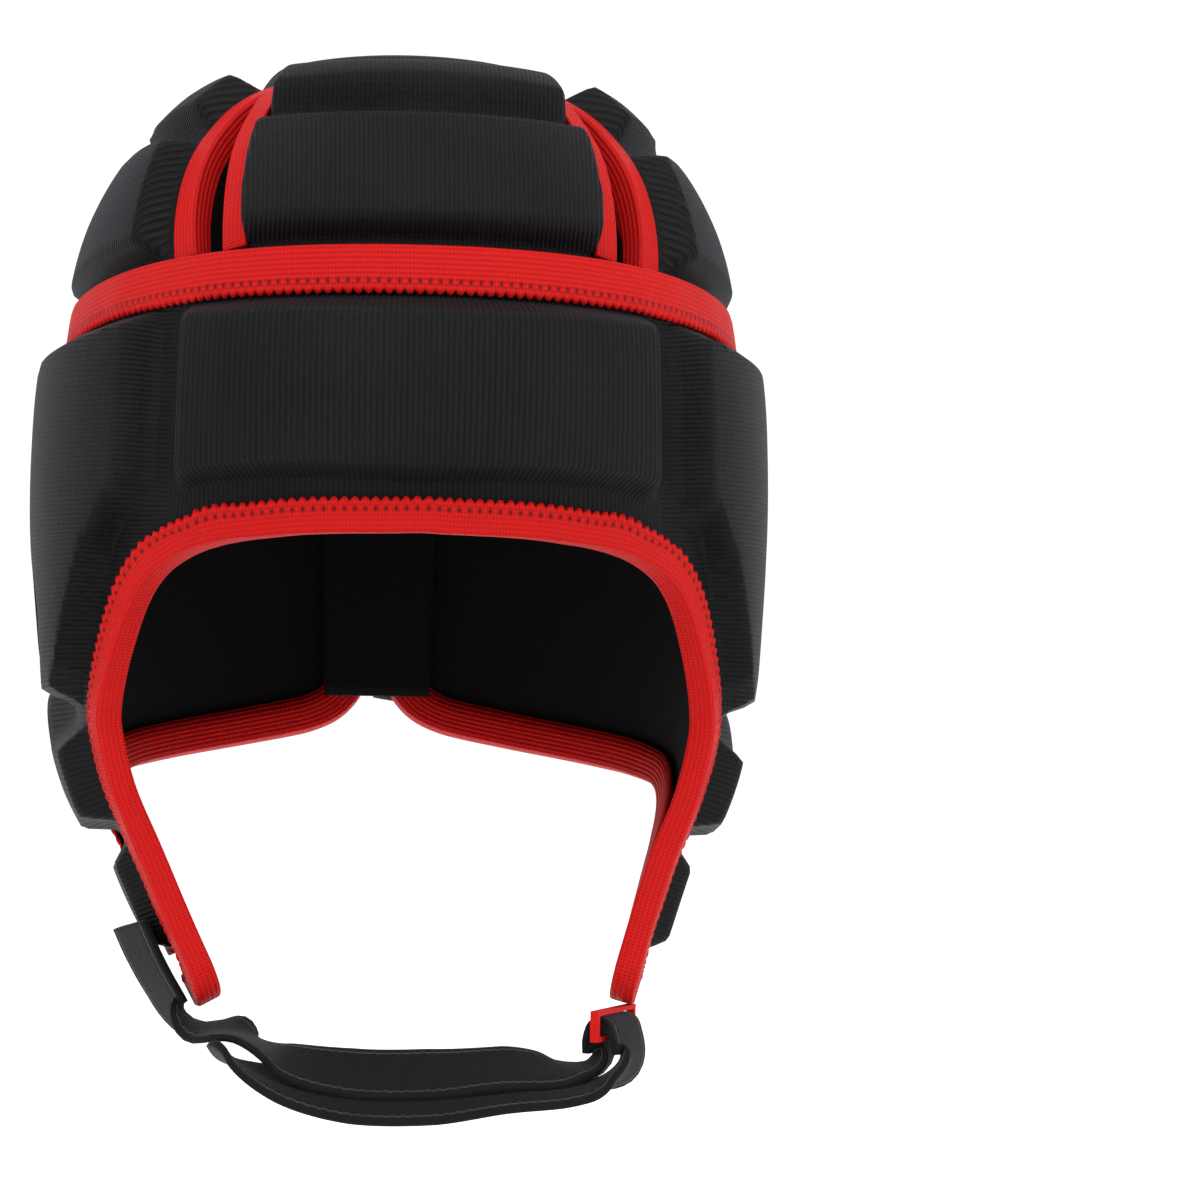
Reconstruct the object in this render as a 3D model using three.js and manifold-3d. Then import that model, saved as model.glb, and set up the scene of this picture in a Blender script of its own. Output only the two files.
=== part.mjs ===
// Rugby scrum cap: a padded foam crown of five petals over a padded band with cheek flaps,
// bound in red elastic tape, laced at the back and held by a chin strap.
// Millimetres, +Z up, the face looks along -Y and the wearer's left is +X.
// The origin is the inside top of the crown, where the cap sits on the head.
import * as THREE from 'three';
import { mergeVertices } from 'three/addons/utils/BufferGeometryUtils.js';
import Module from 'manifold-3d';

const wasm = await Module();
wasm.setup();

// Head form that the foam is moulded over
const halfBreadth = 80.5;
const frontReach = 98;
const backReach = 105;
const headDrop = 235;

// Foam, tape and clearances
const padHeight = 8;
const flapPadHeight = 5.5;
const edgeFoam = 3;
const hemFoam = 2.5;
const bevel = 4.5;
const grooveWidth = 4.5;
const tapeThick = 1.1;
const tapeReach = 9;
const faceTapeReach = 7.4;
const tapeTuck = 8;
const ventTapeReach = 5.5;
const ventTapeTuck = 5;
const clearance = 0.4;
const tapeGap = 0.65;
const seatRoom = 0.32;
const tapeMargin = tapeReach + 1.5;

// Heights below the crown's inside top, at the front, the side and the back
const bandTop = { front: 50, side: 63, back: 68 };
const topPadEdge = { front: 4.4, side: 4.6, back: 4.4 };
const padGroove = { front: 17, side: 24, back: 31 };
const topPadShare = 0.62;
const hemDepth = 10;

// Cheek flaps: how far each is tucked in under the chin, and how far the tips swing forward
const flapStart = 165;
const flapSwing = 8.5;
const flapTuck = { left: 0, right: 9 };

// Vents between the petals, angles at the rim and at the tip, and the drop of the tip
const vents = [
  { name: 'front_left', rim: 33.3, tip: 42, drop: 10.5, half: 5.3 },
  { name: 'front_right', rim: -33.3, tip: -42, drop: 10.5, half: 5.3 },
  { name: 'rear_left', rim: 108, tip: 112, drop: 20, half: 5.2 },
  { name: 'rear_right', rim: -108, tip: -112, drop: 20, half: 5.2 },
];
const rearSlot = { drop: 10, half: 4.6 };

// The bare foam beside a vent's tape, how far the gap between the pads starts above the vent's tip,
// and how far down it has its whole width
const ventMargin = 2;
const gapHead = 7;
const gapLength = 22;

// Band: where the forehead pad ends, where the flap starts at the jaw and ends at the nape, the bevel's
// run in degrees, and the edge of the rear split
const foreheadEnd = 34;
const flapFront = 47.5;
const flapBack = 78;
const faceFoot = headDrop - 10;
const bandRamp = 3;
const splitEdge = 177.8;
const gussetPanel = { reach: 9, top: 80, foot: 162, thick: 1.2, columns: 4, rows: 6 };
const tapeSag = 2.3;
const splitTab = { from: -177.4, to: -171.6, top: 66, foot: 77 };

// Ear vents
const earPlace = { angle: 82, drop: 147 };
const earRecess = 17;

// Strap, keeper and lace
const strapWidth = 19;
const strapThick = 2.2;
const laceThick = 2.3;

const rad = (degrees) => (degrees * Math.PI) / 180;

// Sections of the head form, top to bottom. Each column is a share of the size named in its heading,
// and square is the power of the rounded outline: 2 is an ellipse, 3 has flat cheeks.
const sections = [
  // drop, side, front, back, square
  [0, 0, 0, 0, 2],
  [0.005, 0.25, 0.275, 0.267, 2],
  [0.019, 0.447, 0.5, 0.486, 2],
  [0.043, 0.596, 0.663, 0.638, 2],
  [0.077, 0.714, 0.79, 0.762, 2],
  [0.119, 0.814, 0.878, 0.852, 2.05],
  [0.179, 0.9, 0.944, 0.924, 2.1],
  [0.247, 0.957, 0.98, 0.971, 2.15],
  [0.319, 0.988, 0.995, 0.995, 2.2],
  [0.404, 1, 1, 1, 2.25],
  [0.511, 1, 1, 0.986, 2.35],
  [0.617, 0.981, 1.01, 0.952, 2.6],
  [0.702, 0.944, 1.03, 0.905, 2.9],
  [0.766, 0.888, 1.04, 0.867, 3],
  [0.83, 0.807, 1.04, 0.829, 3],
  [0.894, 0.745, 1.03, 0.79, 3],
  [1, 0.658, 1, 0.733, 3],
].map(([drop, side, front, back, square]) => ({
  drop: drop * headDrop,
  side: side * halfBreadth,
  front: front * frontReach,
  back: back * backReach,
  square,
}));

// One section between the rows, at a place along the table that need not be whole
function sectionAt(place) {
  const last = sections.length - 1;
  const spot = Math.min(Math.max(place, 0), last);
  const i = Math.min(Math.floor(spot), last - 1);
  const t = spot - i;
  const rows = [Math.max(i - 1, 0), i, i + 1, Math.min(i + 2, last)].map((k) => sections[k]);
  const smooth = (key) => {
    const [a, b, c, d] = rows.map((row) => row[key]);
    return b + 0.5 * t * (c - a + t * (2 * a - 5 * b + 4 * c - d + t * (3 * (b - c) + d - a)));
  };
  const linear = (key) => rows[1][key] + t * (rows[2][key] - rows[1][key]);
  const sizes = { side: smooth('side'), front: smooth('front'), back: smooth('back') };
  return { drop: smooth('drop'), square: linear('square'), ...sizes };
}

// The place along the table at which a given drop is reached
function placeOf(drop) {
  let low = 0;
  let high = sections.length - 1;
  for (let i = 0; i < 40; i += 1) {
    const mid = (low + high) / 2;
    if (sectionAt(mid).drop < drop) low = mid;
    else high = mid;
  }
  return (low + high) / 2;
}

// A point of the bare head form at an angle from the front, towards the wearer's left
function formPoint(angle, place) {
  const s = sectionAt(place);
  const across = Math.sin(rad(angle));
  const along = Math.cos(rad(angle));
  const reach = along >= 0 ? s.front : s.back;
  const size = Math.max(s.side, 1e-6);
  const shares = [across / size, along / Math.max(reach, 1e-6)].map((share) => Math.abs(share) ** s.square);
  const r = (shares[0] + shares[1]) ** (-1 / s.square);
  const below = Math.max(s.drop - flapStart, 0) / (headDrop - flapStart);
  const tuck = (across > 0 ? -flapTuck.left : flapTuck.right) * below * below;
  return new THREE.Vector3(r * across + tuck, -r * along, -s.drop);
}

// The same point moved out from the form by a distance square to it
function outPoint(angle, drop, out) {
  const place = placeOf(drop);
  const point = formPoint(angle, place);
  if (place < 0.01) return point.setZ(point.z + out);
  const turn = formPoint(angle + 0.5, place).sub(formPoint(angle - 0.5, place));
  const fall = formPoint(angle, place + 0.04).sub(formPoint(angle, place - 0.04));
  return point.addScaledVector(fall.cross(turn).normalize(), out);
}

// A size that runs smoothly round the head from its front, side and back values
function around(size, angle) {
  const second = (size.front + size.back - 2 * size.side) / 4;
  const mean = size.side + second;
  const first = (size.front - size.back) / 2;
  return mean + first * Math.cos(rad(angle)) + second * Math.cos(rad(2 * angle));
}

// A value between the points of a short table of [angle, value], held past its ends
function along(table, x) {
  if (x <= table[0][0]) return table[0][1];
  for (let i = 1; i < table.length; i += 1) {
    const [x1, y1] = table[i];
    const [x0, y0] = table[i - 1];
    if (x <= x1) return y0 + ((x - x0) / (x1 - x0)) * (y1 - y0);
  }
  return table[table.length - 1][1];
}

// The flaps swing forward as they go down
const swing = (drop) => flapSwing * (Math.max(drop - flapStart, 0) / (headDrop - flapStart)) ** 1.3;
const bandSeat = hemFoam + clearance + tapeThick + tapeGap;
const bandOut = (u, drop, out) => outPoint(u - Math.sign(u) * swing(drop), drop, bandSeat + out);

// A closed shell from cells of a grid: outer and inner faces, and a wall along every free edge
function shell(cells, outer, inner) {
  const index = new Map();
  const nodes = [];
  const keyOf = (node) => `${node.u.toFixed(4)},${node.v.toFixed(4)}`;
  const idOf = (node) => {
    const key = keyOf(node);
    if (!index.has(key)) {
      index.set(key, nodes.length);
      nodes.push(node);
    }
    return index.get(key);
  };
  const faces = [];
  cells.forEach((cell) => {
    const ids = cell.map(idOf);
    const ring = ids.filter((id, i) => id !== ids[(i + 1) % ids.length]);
    if (ring.length === 4) faces.push([ring[0], ring[1], ring[2]], [ring[0], ring[2], ring[3]]);
    if (ring.length === 3) faces.push(ring);
  });
  const count = nodes.length;
  const points = [...nodes.map((n) => outer(n)), ...nodes.map((n) => inner(n))];
  const edges = new Set();
  faces.forEach(([a, b, c]) => [[a, b], [b, c], [c, a]].forEach(([p, q]) => edges.add(`${p},${q}`)));
  const triangles = [];
  faces.forEach(([a, b, c]) => triangles.push([a, b, c], [a + count, c + count, b + count]));
  edges.forEach((edge) => {
    const [p, q] = edge.split(',').map(Number);
    if (!edges.has(`${q},${p}`)) triangles.push([q, p, p + count], [q, p + count, q + count]);
  });
  return solid(points, triangles);
}

// Points and triangles as a geometry
function solid(points, triangles) {
  const geometry = new THREE.BufferGeometry();
  const flat = points.flatMap((p) => [p.x, p.y, p.z]);
  geometry.setAttribute('position', new THREE.Float32BufferAttribute(flat, 3));
  geometry.setIndex(triangles.flat());
  return geometry;
}

// A closed solid from rings of equal count, with flat ends, or joined end to end
function loft(rings, closed = false) {
  const n = rings[0].length;
  const points = rings.flat();
  const triangles = [];
  const last = closed ? rings.length : rings.length - 1;
  for (let i = 0; i < last; i += 1) {
    const a = i * n;
    const b = ((i + 1) % rings.length) * n;
    for (let j = 0; j < n; j += 1) {
      const k = (j + 1) % n;
      triangles.push([a + j, a + k, b + k], [a + j, b + k, b + j]);
    }
  }
  if (!closed) {
    const outline = flatOutline(rings[0]);
    THREE.ShapeUtils.triangulateShape(outline, []).forEach(([i, j, k]) => {
      triangles.push([k, j, i], [i, j, k].map((v) => v + (rings.length - 1) * n));
    });
  }
  const made = solid(points, triangles);
  return volumeOf(made) < 0 ? turned(made) : made;
}

// A ring's outline in its own plane, for filling it
function flatOutline(ring) {
  const middle = ring.reduce((sum, p) => sum.clone().add(p), new THREE.Vector3()).divideScalar(ring.length);
  const normal = new THREE.Vector3();
  const spokes = ring.map((p) => p.clone().sub(middle));
  spokes.forEach((spoke, i) => normal.add(spoke.clone().cross(spokes[(i + 1) % ring.length])));
  normal.normalize();
  const side = ring[1].clone().sub(ring[0]).normalize();
  const up = normal.clone().cross(side);
  return spokes.map((spoke) => new THREE.Vector2(spoke.dot(side), spoke.dot(up)));
}

function volumeOf(geometry) {
  const p = geometry.getAttribute('position');
  const index = geometry.index.array;
  const v = [0, 1, 2].map(() => new THREE.Vector3());
  let sum = 0;
  for (let i = 0; i < index.length; i += 3) {
    v.forEach((vector, j) => vector.fromBufferAttribute(p, index[i + j]));
    sum += v[0].dot(v[1].clone().cross(v[2])) / 6;
  }
  return sum;
}

function turned(geometry) {
  const index = geometry.index.array;
  for (let i = 0; i < index.length; i += 3) {
    [index[i + 1], index[i + 2]] = [index[i + 2], index[i + 1]];
  }
  return geometry;
}

// To and from the library that cuts solids
function toManifold(geometry) {
  const bare = geometry.clone();
  bare.deleteAttribute('normal');
  bare.deleteAttribute('uv');
  const merged = mergeVertices(bare, 1e-5);
  return new wasm.Manifold(new wasm.Mesh({
    numProp: 3,
    vertProperties: new Float32Array(merged.getAttribute('position').array),
    triVerts: new Uint32Array(merged.index.array),
  }));
}

function fromManifold(manifold) {
  const mesh = manifold.getMesh();
  const geometry = new THREE.BufferGeometry();
  geometry.setAttribute('position', new THREE.BufferAttribute(new Float32Array(mesh.vertProperties), 3));
  geometry.setIndex(new THREE.BufferAttribute(new Uint32Array(mesh.triVerts), 1));
  return geometry;
}

const cut = (geometry, cutters) => fromManifold(
  cutters.reduce((body, cutter) => body.subtract(toManifold(cutter)), toManifold(geometry)),
);

// A cutter through the foam over an outline of [angle, drop] points
function cutter(outline, from, to) {
  return loft([from, to].map((out) => outline.map(([angle, drop]) => outPoint(angle, drop, out))));
}

// How many degrees one millimetre is, round the head at a drop
const degreesPerMm = (angle, drop) => (
  1 / outPoint(angle - 0.5, drop, edgeFoam).distanceTo(outPoint(angle + 0.5, drop, edgeFoam))
);

// How much drop one millimetre down the surface is
function dropPerMm(angle, drop) {
  const [high, low] = [Math.max(drop - 0.3, 0.1), drop + 0.3];
  return (low - high) / outPoint(angle, high, edgeFoam).distanceTo(outPoint(angle, low, edgeFoam));
}

// 0 in a groove, 1 on a pad, with the bevel between, over spans of [start, end]
function raised(spans, u, ramp) {
  return Math.max(0, ...spans.map(([a, b]) => Math.min(1, (u - a) / ramp, (b - u) / ramp)));
}

// Crown: five petals meet at boundaries that run through the vents, and each boundary's gap
// between pads is wide where a vent and its tape lie, and a plain groove above.
const boundaries = [vents[0], vents[2], { rim: 180, tip: 180, ...rearSlot }];

function boundaryAngle(b, drop) {
  const down = (drop - b.drop) / (bandTop.side - b.drop);
  return b.rim + (b.tip - b.rim) * Math.max(0, Math.min(1, 1 - down));
}

function gapHalf(b, drop) {
  const full = b.half + tapeThick + ventTapeReach + ventMargin;
  const fall = (drop - b.drop + gapHead) / gapLength;
  const wide = Math.max(0, Math.min(1, fall));
  return grooveWidth / 2 + (full - grooveWidth / 2) * Math.sqrt(wide);
}

// Columns of the crown's grid: a boundary's centre, the floor and top of a bevel beside it, or a share
// of the pad between two boundaries
function crownColumns() {
  const petals = [[-1, 0, 2], [0, 1, 4], [1, 2, 3]];
  const columns = [];
  petals.forEach(([from, to, parts]) => {
    if (from >= 0) {
      columns.push({ at: from, mm: 0, up: 0 }, { at: from, mm: 1, up: 0 }, { at: from, mm: 1, bevel: 1, up: 1 });
    }
    for (let i = from < 0 ? 0 : 1; i < parts; i += 1) columns.push({ from, to, share: i / parts, up: 1 });
    columns.push({ at: to, mm: -1, bevel: -1, up: 1 }, { at: to, mm: -1, up: 0 });
  });
  columns.push({ at: 2, mm: 0, up: 0 });
  return columns;
}

function columnAngle(column, drop) {
  const edge = (k, side) => {
    if (k < 0) return 0;
    const b = boundaries[k];
    const angle = boundaryAngle(b, drop);
    return angle + side * (gapHalf(b, drop) + bevel) * degreesPerMm(angle, drop);
  };
  if (column.share !== undefined) {
    const a = edge(column.from, 1);
    const b = edge(column.to, -1);
    return a + (b - a) * column.share;
  }
  const b = boundaries[column.at];
  const angle = boundaryAngle(b, drop);
  const mm = column.mm * gapHalf(b, drop) + (column.bevel || 0) * bevel;
  return angle + mm * degreesPerMm(angle, drop);
}

function crown() {
  const left = crownColumns().map((column, i) => ({ ...column, key: i, side: 1 }));
  const right = left.slice(1, -1).reverse().map((column) => ({ ...column, key: -column.key, side: -1 }));
  const columns = [left[left.length - 1], ...right, ...left];
  const line = (size, shift, lift) => ({ size, shift, lift });
  const hem = Object.fromEntries(Object.entries(bandTop).map(([key, drop]) => [key, drop + hemDepth]));
  const rings = [
    line({ front: 0, side: 0, back: 0 }, 0, topPadShare),
    line(topPadEdge, -3.4, topPadShare),
    line(topPadEdge, -1.1, topPadShare),
    line(topPadEdge, 0.9, 0),
    line(topPadEdge, 2.2, 0),
    line(topPadEdge, 4.6, 1),
    line(padGroove, -4.2, 1),
    line(padGroove, -1.2, 0),
    line(padGroove, 1.2, 0),
    line(padGroove, 5.2, 1),
    line(bandTop, -6.5, 1),
    line(bandTop, -3, 0),
    line(hem, 0, 0),
  ];
  const topRings = 3;
  const dropAt = (ring, column) => {
    let angle = 0;
    for (let i = 0; i < 3; i += 1) angle = columnAngle(column, Math.max(around(ring.size, angle) + ring.shift, 1.2));
    return [angle, around(ring.size, angle) + ring.shift];
  };
  const cells = [];
  for (let i = 0; i < rings.length - 1; i += 1) {
    for (let j = 0; j < columns.length - 1; j += 1) {
      const corner = (k, c) => ({ u: k === 0 ? 0 : columns[c].key, v: k, column: columns[c] });
      cells.push([corner(i, j), corner(i + 1, j), corner(i + 1, j + 1), corner(i, j + 1)]);
    }
  }
  const place = ({ v, column }, out) => {
    const [angle, drop] = dropAt(rings[v], column);
    return outPoint(angle * column.side, drop, out);
  };
  const lift = ({ v, column }) => {
    if (v >= rings.length - 2) return hemFoam;
    const up = v < topRings ? rings[v].lift : Math.min(rings[v].lift, column.up);
    return edgeFoam + padHeight * up;
  };
  const body = shell(cells, (n) => place(n, lift(n)), (n) => place(n, 0));
  const cutters = vents.map((vent) => cutter(grown(ventPath(vent, 2), tapeGap + tapeThick), -6, 24));
  const slot = grown(rearPath(-2), tapeGap + tapeThick);
  const deep = bandTop.back + hemDepth + 20;
  cutters.push(cutter([[slot[0][0], deep], ...slot, [slot[slot.length - 1][0], deep]], -6, 24));
  const paths = [...vents.map(ventTapePath), slotTapePath()];
  paths.forEach((path) => cutters.push(tapeSeat(path, outPoint, -1, ventTapeReach, ventTapeTuck)));
  return cut(volumeOf(body) < 0 ? turned(body) : body, cutters);
}

// The opening of a vent as [angle, drop] points, rim to tip and back
const ventShape = [[0, 0.86], [0.3, 1], [0.58, 0.96], [0.8, 0.7], [0.93, 0.38]];
const slotShape = [[0, 1], [0.35, 0.95], [0.7, 0.72], [0.9, 0.42]];

function ventPath(vent, beyond) {
  const foot = around(bandTop, vent.rim) + beyond;
  const centre = (t) => [vent.rim + (vent.tip - vent.rim) * t, foot + (vent.drop - foot) * t];
  const side = (sign) => ventShape.map(([t, share]) => {
    const [angle, drop] = centre(t);
    return [angle + sign * vent.half * share * degreesPerMm(angle, drop), drop];
  });
  return [...side(-1), centre(1), ...side(1).reverse()];
}

function rearPath(beyond) {
  const foot = bandTop.back + beyond;
  const side = (sign) => slotShape.map(([t, share]) => {
    const drop = foot + (rearSlot.drop - foot) * t;
    return [180 + sign * rearSlot.half * share * degreesPerMm(180, drop), drop];
  });
  return [...side(-1), [180, rearSlot.drop], ...side(1).reverse()];
}

const ventTapePath = (vent) => grown(ventPath(vent, -1.6), tapeGap + tapeThick);
const slotTapePath = () => grown(rearPath(-2), tapeGap + tapeThick);

// Which way is off the path, square to it on the surface, in mm of [angle, drop]
function offPath(path, i) {
  const [angle] = path[i];
  const [a0, d0] = path[Math.max(i - 1, 0)];
  const [a1, d1] = path[Math.min(i + 1, path.length - 1)];
  const perMm = degreesPerMm(angle, path[i][1]);
  const dropMm = dropPerMm(angle, path[i][1]);
  const run = new THREE.Vector2((a1 - a0) / perMm, (d1 - d0) / dropMm).normalize();
  return { turn: run.y * perMm, fall: -run.x * dropMm };
}

function grown(path, margin) {
  return path.map(([angle, drop], i) => {
    const off = offPath(path, i);
    return [angle + margin * off.turn, drop + margin * off.fall];
  });
}

// A section of [mm off the edge, mm out] points, swept along an edge's path
function swept(section, path, out, side) {
  return loft(path.map(([angle, drop], i) => {
    const off = offPath(path, i);
    return section.map(([e, n]) => out(angle + side * e * off.turn, drop + side * e * off.fall, n));
  }));
}

// Tape folded over an edge: a thin U, its open side over the foam
function tape(path, out, side, reach = tapeReach, tuck = tapeTuck) {
  const near = tapeGap;
  const far = tapeGap + tapeThick;
  const section = [
    [-reach, edgeFoam + near], [near, edgeFoam + near], [near, -near], [-tuck, -near],
    [-tuck, -far], [far, -far], [far, edgeFoam + far], [-reach, edgeFoam + far],
  ];
  return swept(section, path, out, side);
}

// The room that a tape presses into the foam: the tape's own section grown by a little, and all over it
function tapeSeat(path, out, side, reach = tapeReach, tuck = tapeTuck) {
  const near = tapeGap - seatRoom;
  const far = tapeGap + tapeThick + seatRoom;
  const over = edgeFoam + 2 * padHeight;
  const section = [
    [-reach - seatRoom, edgeFoam + near], [near, edgeFoam + near], [near, -near], [-tuck - seatRoom, -near],
    [-tuck - seatRoom, -far], [far, -far], [far, over], [-reach - seatRoom, over],
  ];
  return swept(section, path, out, side);
}

// Band: edges and grooves as [u, drop], for the wearer's left and mirrored to the right.
// u is the angle from the front, less the flap's swing.
const faceEdge = [[0, 116], [20, 118], [31, 122], [38.5, 129.5], [41.5, 136], [44, 145], [flapFront, 163]];
const jawGroove = [[flapFront, 163], [80, 163], [113, 151], [160, 149], [171, 147], [splitEdge, 140]];
const flapGroove = [[flapFront, headDrop - 45], [62, headDrop - 44], [flapBack, headDrop - 38]];
const napeEdge = [
  [flapBack, headDrop - 38], [84, headDrop - 43], [90, headDrop - 46.5], [100, 184.5], [113, 181], [129, 179],
  [147, 176], [160, 172.5], [168, 169.5], [171.5, 167.5], [174.6, 163.5], [splitEdge, 155],
];
const flapTip = [
  [flapFront, headDrop - 8], [50, headDrop - 4], [54.5, headDrop - 3], [58, headDrop - 3], [62, headDrop - 5.5],
  [66, headDrop - 13], [70, headDrop - 23], [74, headDrop - 31.5], [flapBack, headDrop - 38],
];

// Bare foam between an edge and the pad's bevel, as [u, drop]
const faceInset = [
  [0, 10.4], [31, 13], [38.5, 18], [41.5, 23], [44, 30], [flapFront, 38], [50, 26], [54.5, 8], [58, 2.3],
];
const napeInset = [[70, 2.3], [flapBack, 7], [84, 13], [100, 11], [168, 11], [171.5, 13], [splitEdge, 20]];
const bandColumns = [
  0, 10, 20, 28.5, foreheadEnd, 38.5, 41.5, 44, flapFront, 50, 54.5, 58, 62, 66, 70, 74, flapBack, 84, 90, 100,
  110, 113, 117, 120, 129, 138, 147, 153.5, 156.5, 160, 163, 167, 170, 171.5, 174.6, splitEdge,
];
const backSpans = [[117, 156.5], [160, 170]];
const bandSpans = [
  [[-foreheadEnd, foreheadEnd], [38.5, 113], ...backSpans],
  [[54.5, 113], ...backSpans],
  [[53, 74]],
];
const topEdge = (u) => around(bandTop, u) + tapeGap + tapeThick;

// Row lines of a belt of the band, between its top and bottom edges
function belt(top, bottom, topInset, bottomInset, parts, height) {
  return (u) => {
    const a = top(u);
    const b = bottom(u);
    const inset = [topInset(u), bottomInset(u)];
    const squeeze = Math.min(1, (b - a) / (inset[0] + inset[1] + 2 * bevel + 1));
    const high = a + (inset[0] + bevel) * squeeze;
    const low = b - (inset[1] + bevel) * squeeze;
    const lines = [{ drop: a + inset[0] * squeeze, up: 0 }];
    for (let i = 0; i <= parts; i += 1) lines.push({ drop: high + ((low - high) * i) / parts, up: height });
    lines.push({ drop: b - inset[1] * squeeze, up: 0 }, { drop: b, up: 0 });
    return lines;
  };
}

const jawTop = (u) => (u < flapFront ? along(faceEdge, u) : along(jawGroove, u));
const napeTop = (u) => (u < flapBack ? along(flapGroove, u) : along(napeEdge, u));
const tipTop = (u) => along(flapTip, u);
const grooveHalf = grooveWidth / 2;
const belts = [
  belt(topEdge, jawTop, () => tapeMargin - 1, (u) => along(faceInset, u), 1, padHeight),
  belt(jawTop, napeTop, () => grooveHalf, (u) => along(napeInset, u), 1, padHeight),
  belt(napeTop, tipTop, () => grooveHalf, () => 11.5, 1, flapPadHeight),
];

function bandLines(u) {
  const a = Math.abs(u);
  const lines = [{ drop: topEdge(a), up: 0, belt: 0 }];
  belts.forEach((rows, i) => {
    if (i > 0 && a < flapFront) return;
    if (i === 2 && a > flapBack) return;
    rows(a).forEach((row) => lines.push({ ...row, belt: i }));
  });
  return lines;
}

function band() {
  const columns = [...bandColumns.slice(1).reverse().map((u) => -u), ...bandColumns];
  const table = columns.map(bandLines);
  const cells = [];
  for (let j = 0; j < columns.length - 1; j += 1) {
    const rows = Math.min(table[j].length, table[j + 1].length) - 1;
    const node = (c, k) => {
      const folded = Math.abs(columns[c]) === flapBack && table[c][k].belt === 2;
      const line = folded ? table[c].findIndex((row) => row.belt === 2) - 1 : k;
      return { u: columns[c], v: line };
    };
    for (let k = 0; k < rows; k += 1) cells.push([node(j, k), node(j, k + 1), node(j + 1, k + 1), node(j + 1, k)]);
  }
  const row = ({ u, v }) => table[columns.indexOf(u)][v];
  const lift = (n) => {
    const { belt: b, up } = row(n);
    return edgeFoam + up * raised(bandSpans[b], Math.abs(n.u), bandRamp);
  };
  const body = shell(cells, (n) => bandOut(n.u, row(n).drop, lift(n)), (n) => bandOut(n.u, row(n).drop, 0));
  const cutters = [1, -1].flatMap((side) => [...earCutters(side), tapeSeat(napePath(side), bandOut, -side)]);
  cutters.push(tapeSeat(facePath(), bandOut, 1, faceTapeReach), tapeSeat(bandTopPath(), bandOut, 1));
  return cut(volumeOf(body) < 0 ? turned(body) : body, cutters);
}

// Ear vents: a round recess down to the groove's floor, and six holes, [back, up, half width, half height, lean]
const earHoles = [
  [-1, 10, 2.1, 2.1, 0],
  [8.5, 11.5, 2.5, 5.4, 8],
  [-8, 0.5, 3, 4.2, 15],
  [8, -1.5, 2.4, 3.9, 12],
  [-12.5, -13.5, 2.9, 5.2, 32],
  [-0.5, -12.5, 2.1, 2.1, 0],
];

function earCutters(side) {
  const perMm = degreesPerMm(earPlace.angle, earPlace.drop);
  const spot = (back, up) => [side * (earPlace.angle + back * perMm), earPlace.drop - up];
  const round = (back, up, wide, tall, lean, sides) => Array.from({ length: sides }, (_, i) => {
    const a = (side * 2 * Math.PI * i) / sides;
    const x = wide * Math.cos(a);
    const y = tall * Math.sin(a);
    const c = Math.cos(rad(lean));
    const s = Math.sin(rad(lean));
    return spot(back + x * c + y * s, up - x * s + y * c);
  });
  const recess = [edgeFoam + 0.01, 30].map((out, i) => {
    const size = earRecess + i * 12;
    return round(0, 0, size, size, 0, 12).map(([angle, drop]) => bandOut(angle, drop, out));
  });
  const holes = earHoles.map(([back, up, wide, tall, lean]) => (
    loft([-8, 16].map((out) => round(back, up, wide, tall, lean, 6).map(([angle, drop]) => bandOut(angle, drop, out))))
  ));
  return [loft(recess), ...holes];
}

// The band's free edges, as paths for the tapes
function facePath() {
  const rows = bandLines(flapFront).filter((row) => row.belt > 0 && row.drop < faceFoot - 1);
  const start = rows.map((row) => [flapFront, row.drop]);
  const arch = bandColumns.filter((u) => u <= flapFront).map((u) => [u, along(faceEdge, u)]);
  const left = [[flapFront, faceFoot], ...start.reverse(), ...arch.reverse()];
  return [...left, ...left.slice(0, -1).reverse().map(([u, drop]) => [-u, drop])];
}

function napePath(side) {
  const tip = bandColumns.filter((u) => u >= 66 && u < flapBack).map((u) => [side * u, along(flapTip, u)]);
  const nape = bandColumns.filter((u) => u >= flapBack).map((u) => [side * u, along(napeEdge, u)]);
  const drops = bandLines(splitEdge).map((row) => row.drop).filter((drop) => drop < 140).reverse();
  const rise = [...drops.slice(0, -1), bandTop.back + 2].map((drop) => [side * splitEdge, drop]);
  return [...tip, ...nape, ...rise];
}

const bandTopPath = () => {
  const skipped = [foreheadEnd, 41.5, 50, 58, 66, 74, 110, 117, 153.5, 160, 170];
  const spaced = bandColumns.filter((u) => u < 172 && !skipped.includes(u));
  const all = [...spaced.slice(1).reverse().map((u) => -u), ...spaced];
  return all.map((u) => [u, topEdge(u)]);
};

// A patch sewn over the ends of the band's and the slot's tapes
function tab() {
  const { from, to, top, foot } = splitTab;
  const middle = (from + to) / 2;
  const outline = [[from, top], [middle, top], [to, top], [to, foot], [middle, foot], [from, foot]];
  const under = edgeFoam + tapeGap + tapeThick + clearance;
  return loft([under, under + tapeThick].map((out) => outline.map(([u, drop]) => bandOut(u, drop, out))));
}

// A thin panel inside the band, behind the rear split
function gusset() {
  const { reach, top, foot, thick, columns, rows } = gussetPanel;
  const cells = [];
  const corner = (i, j) => ({ u: 180 - reach + (2 * reach * i) / columns, v: top + ((foot - top) * j) / rows });
  for (let i = 0; i < columns; i += 1) {
    for (let j = 0; j < rows; j += 1) {
      cells.push([corner(i, j), corner(i, j + 1), corner(i + 1, j + 1), corner(i + 1, j)]);
    }
  }
  const over = -(tapeGap + tapeThick + tapeSag);
  const body = shell(cells, (n) => bandOut(n.u, n.v, over), (n) => bandOut(n.u, n.v, over - thick));
  return volumeOf(body) < 0 ? turned(body) : body;
}

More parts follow.
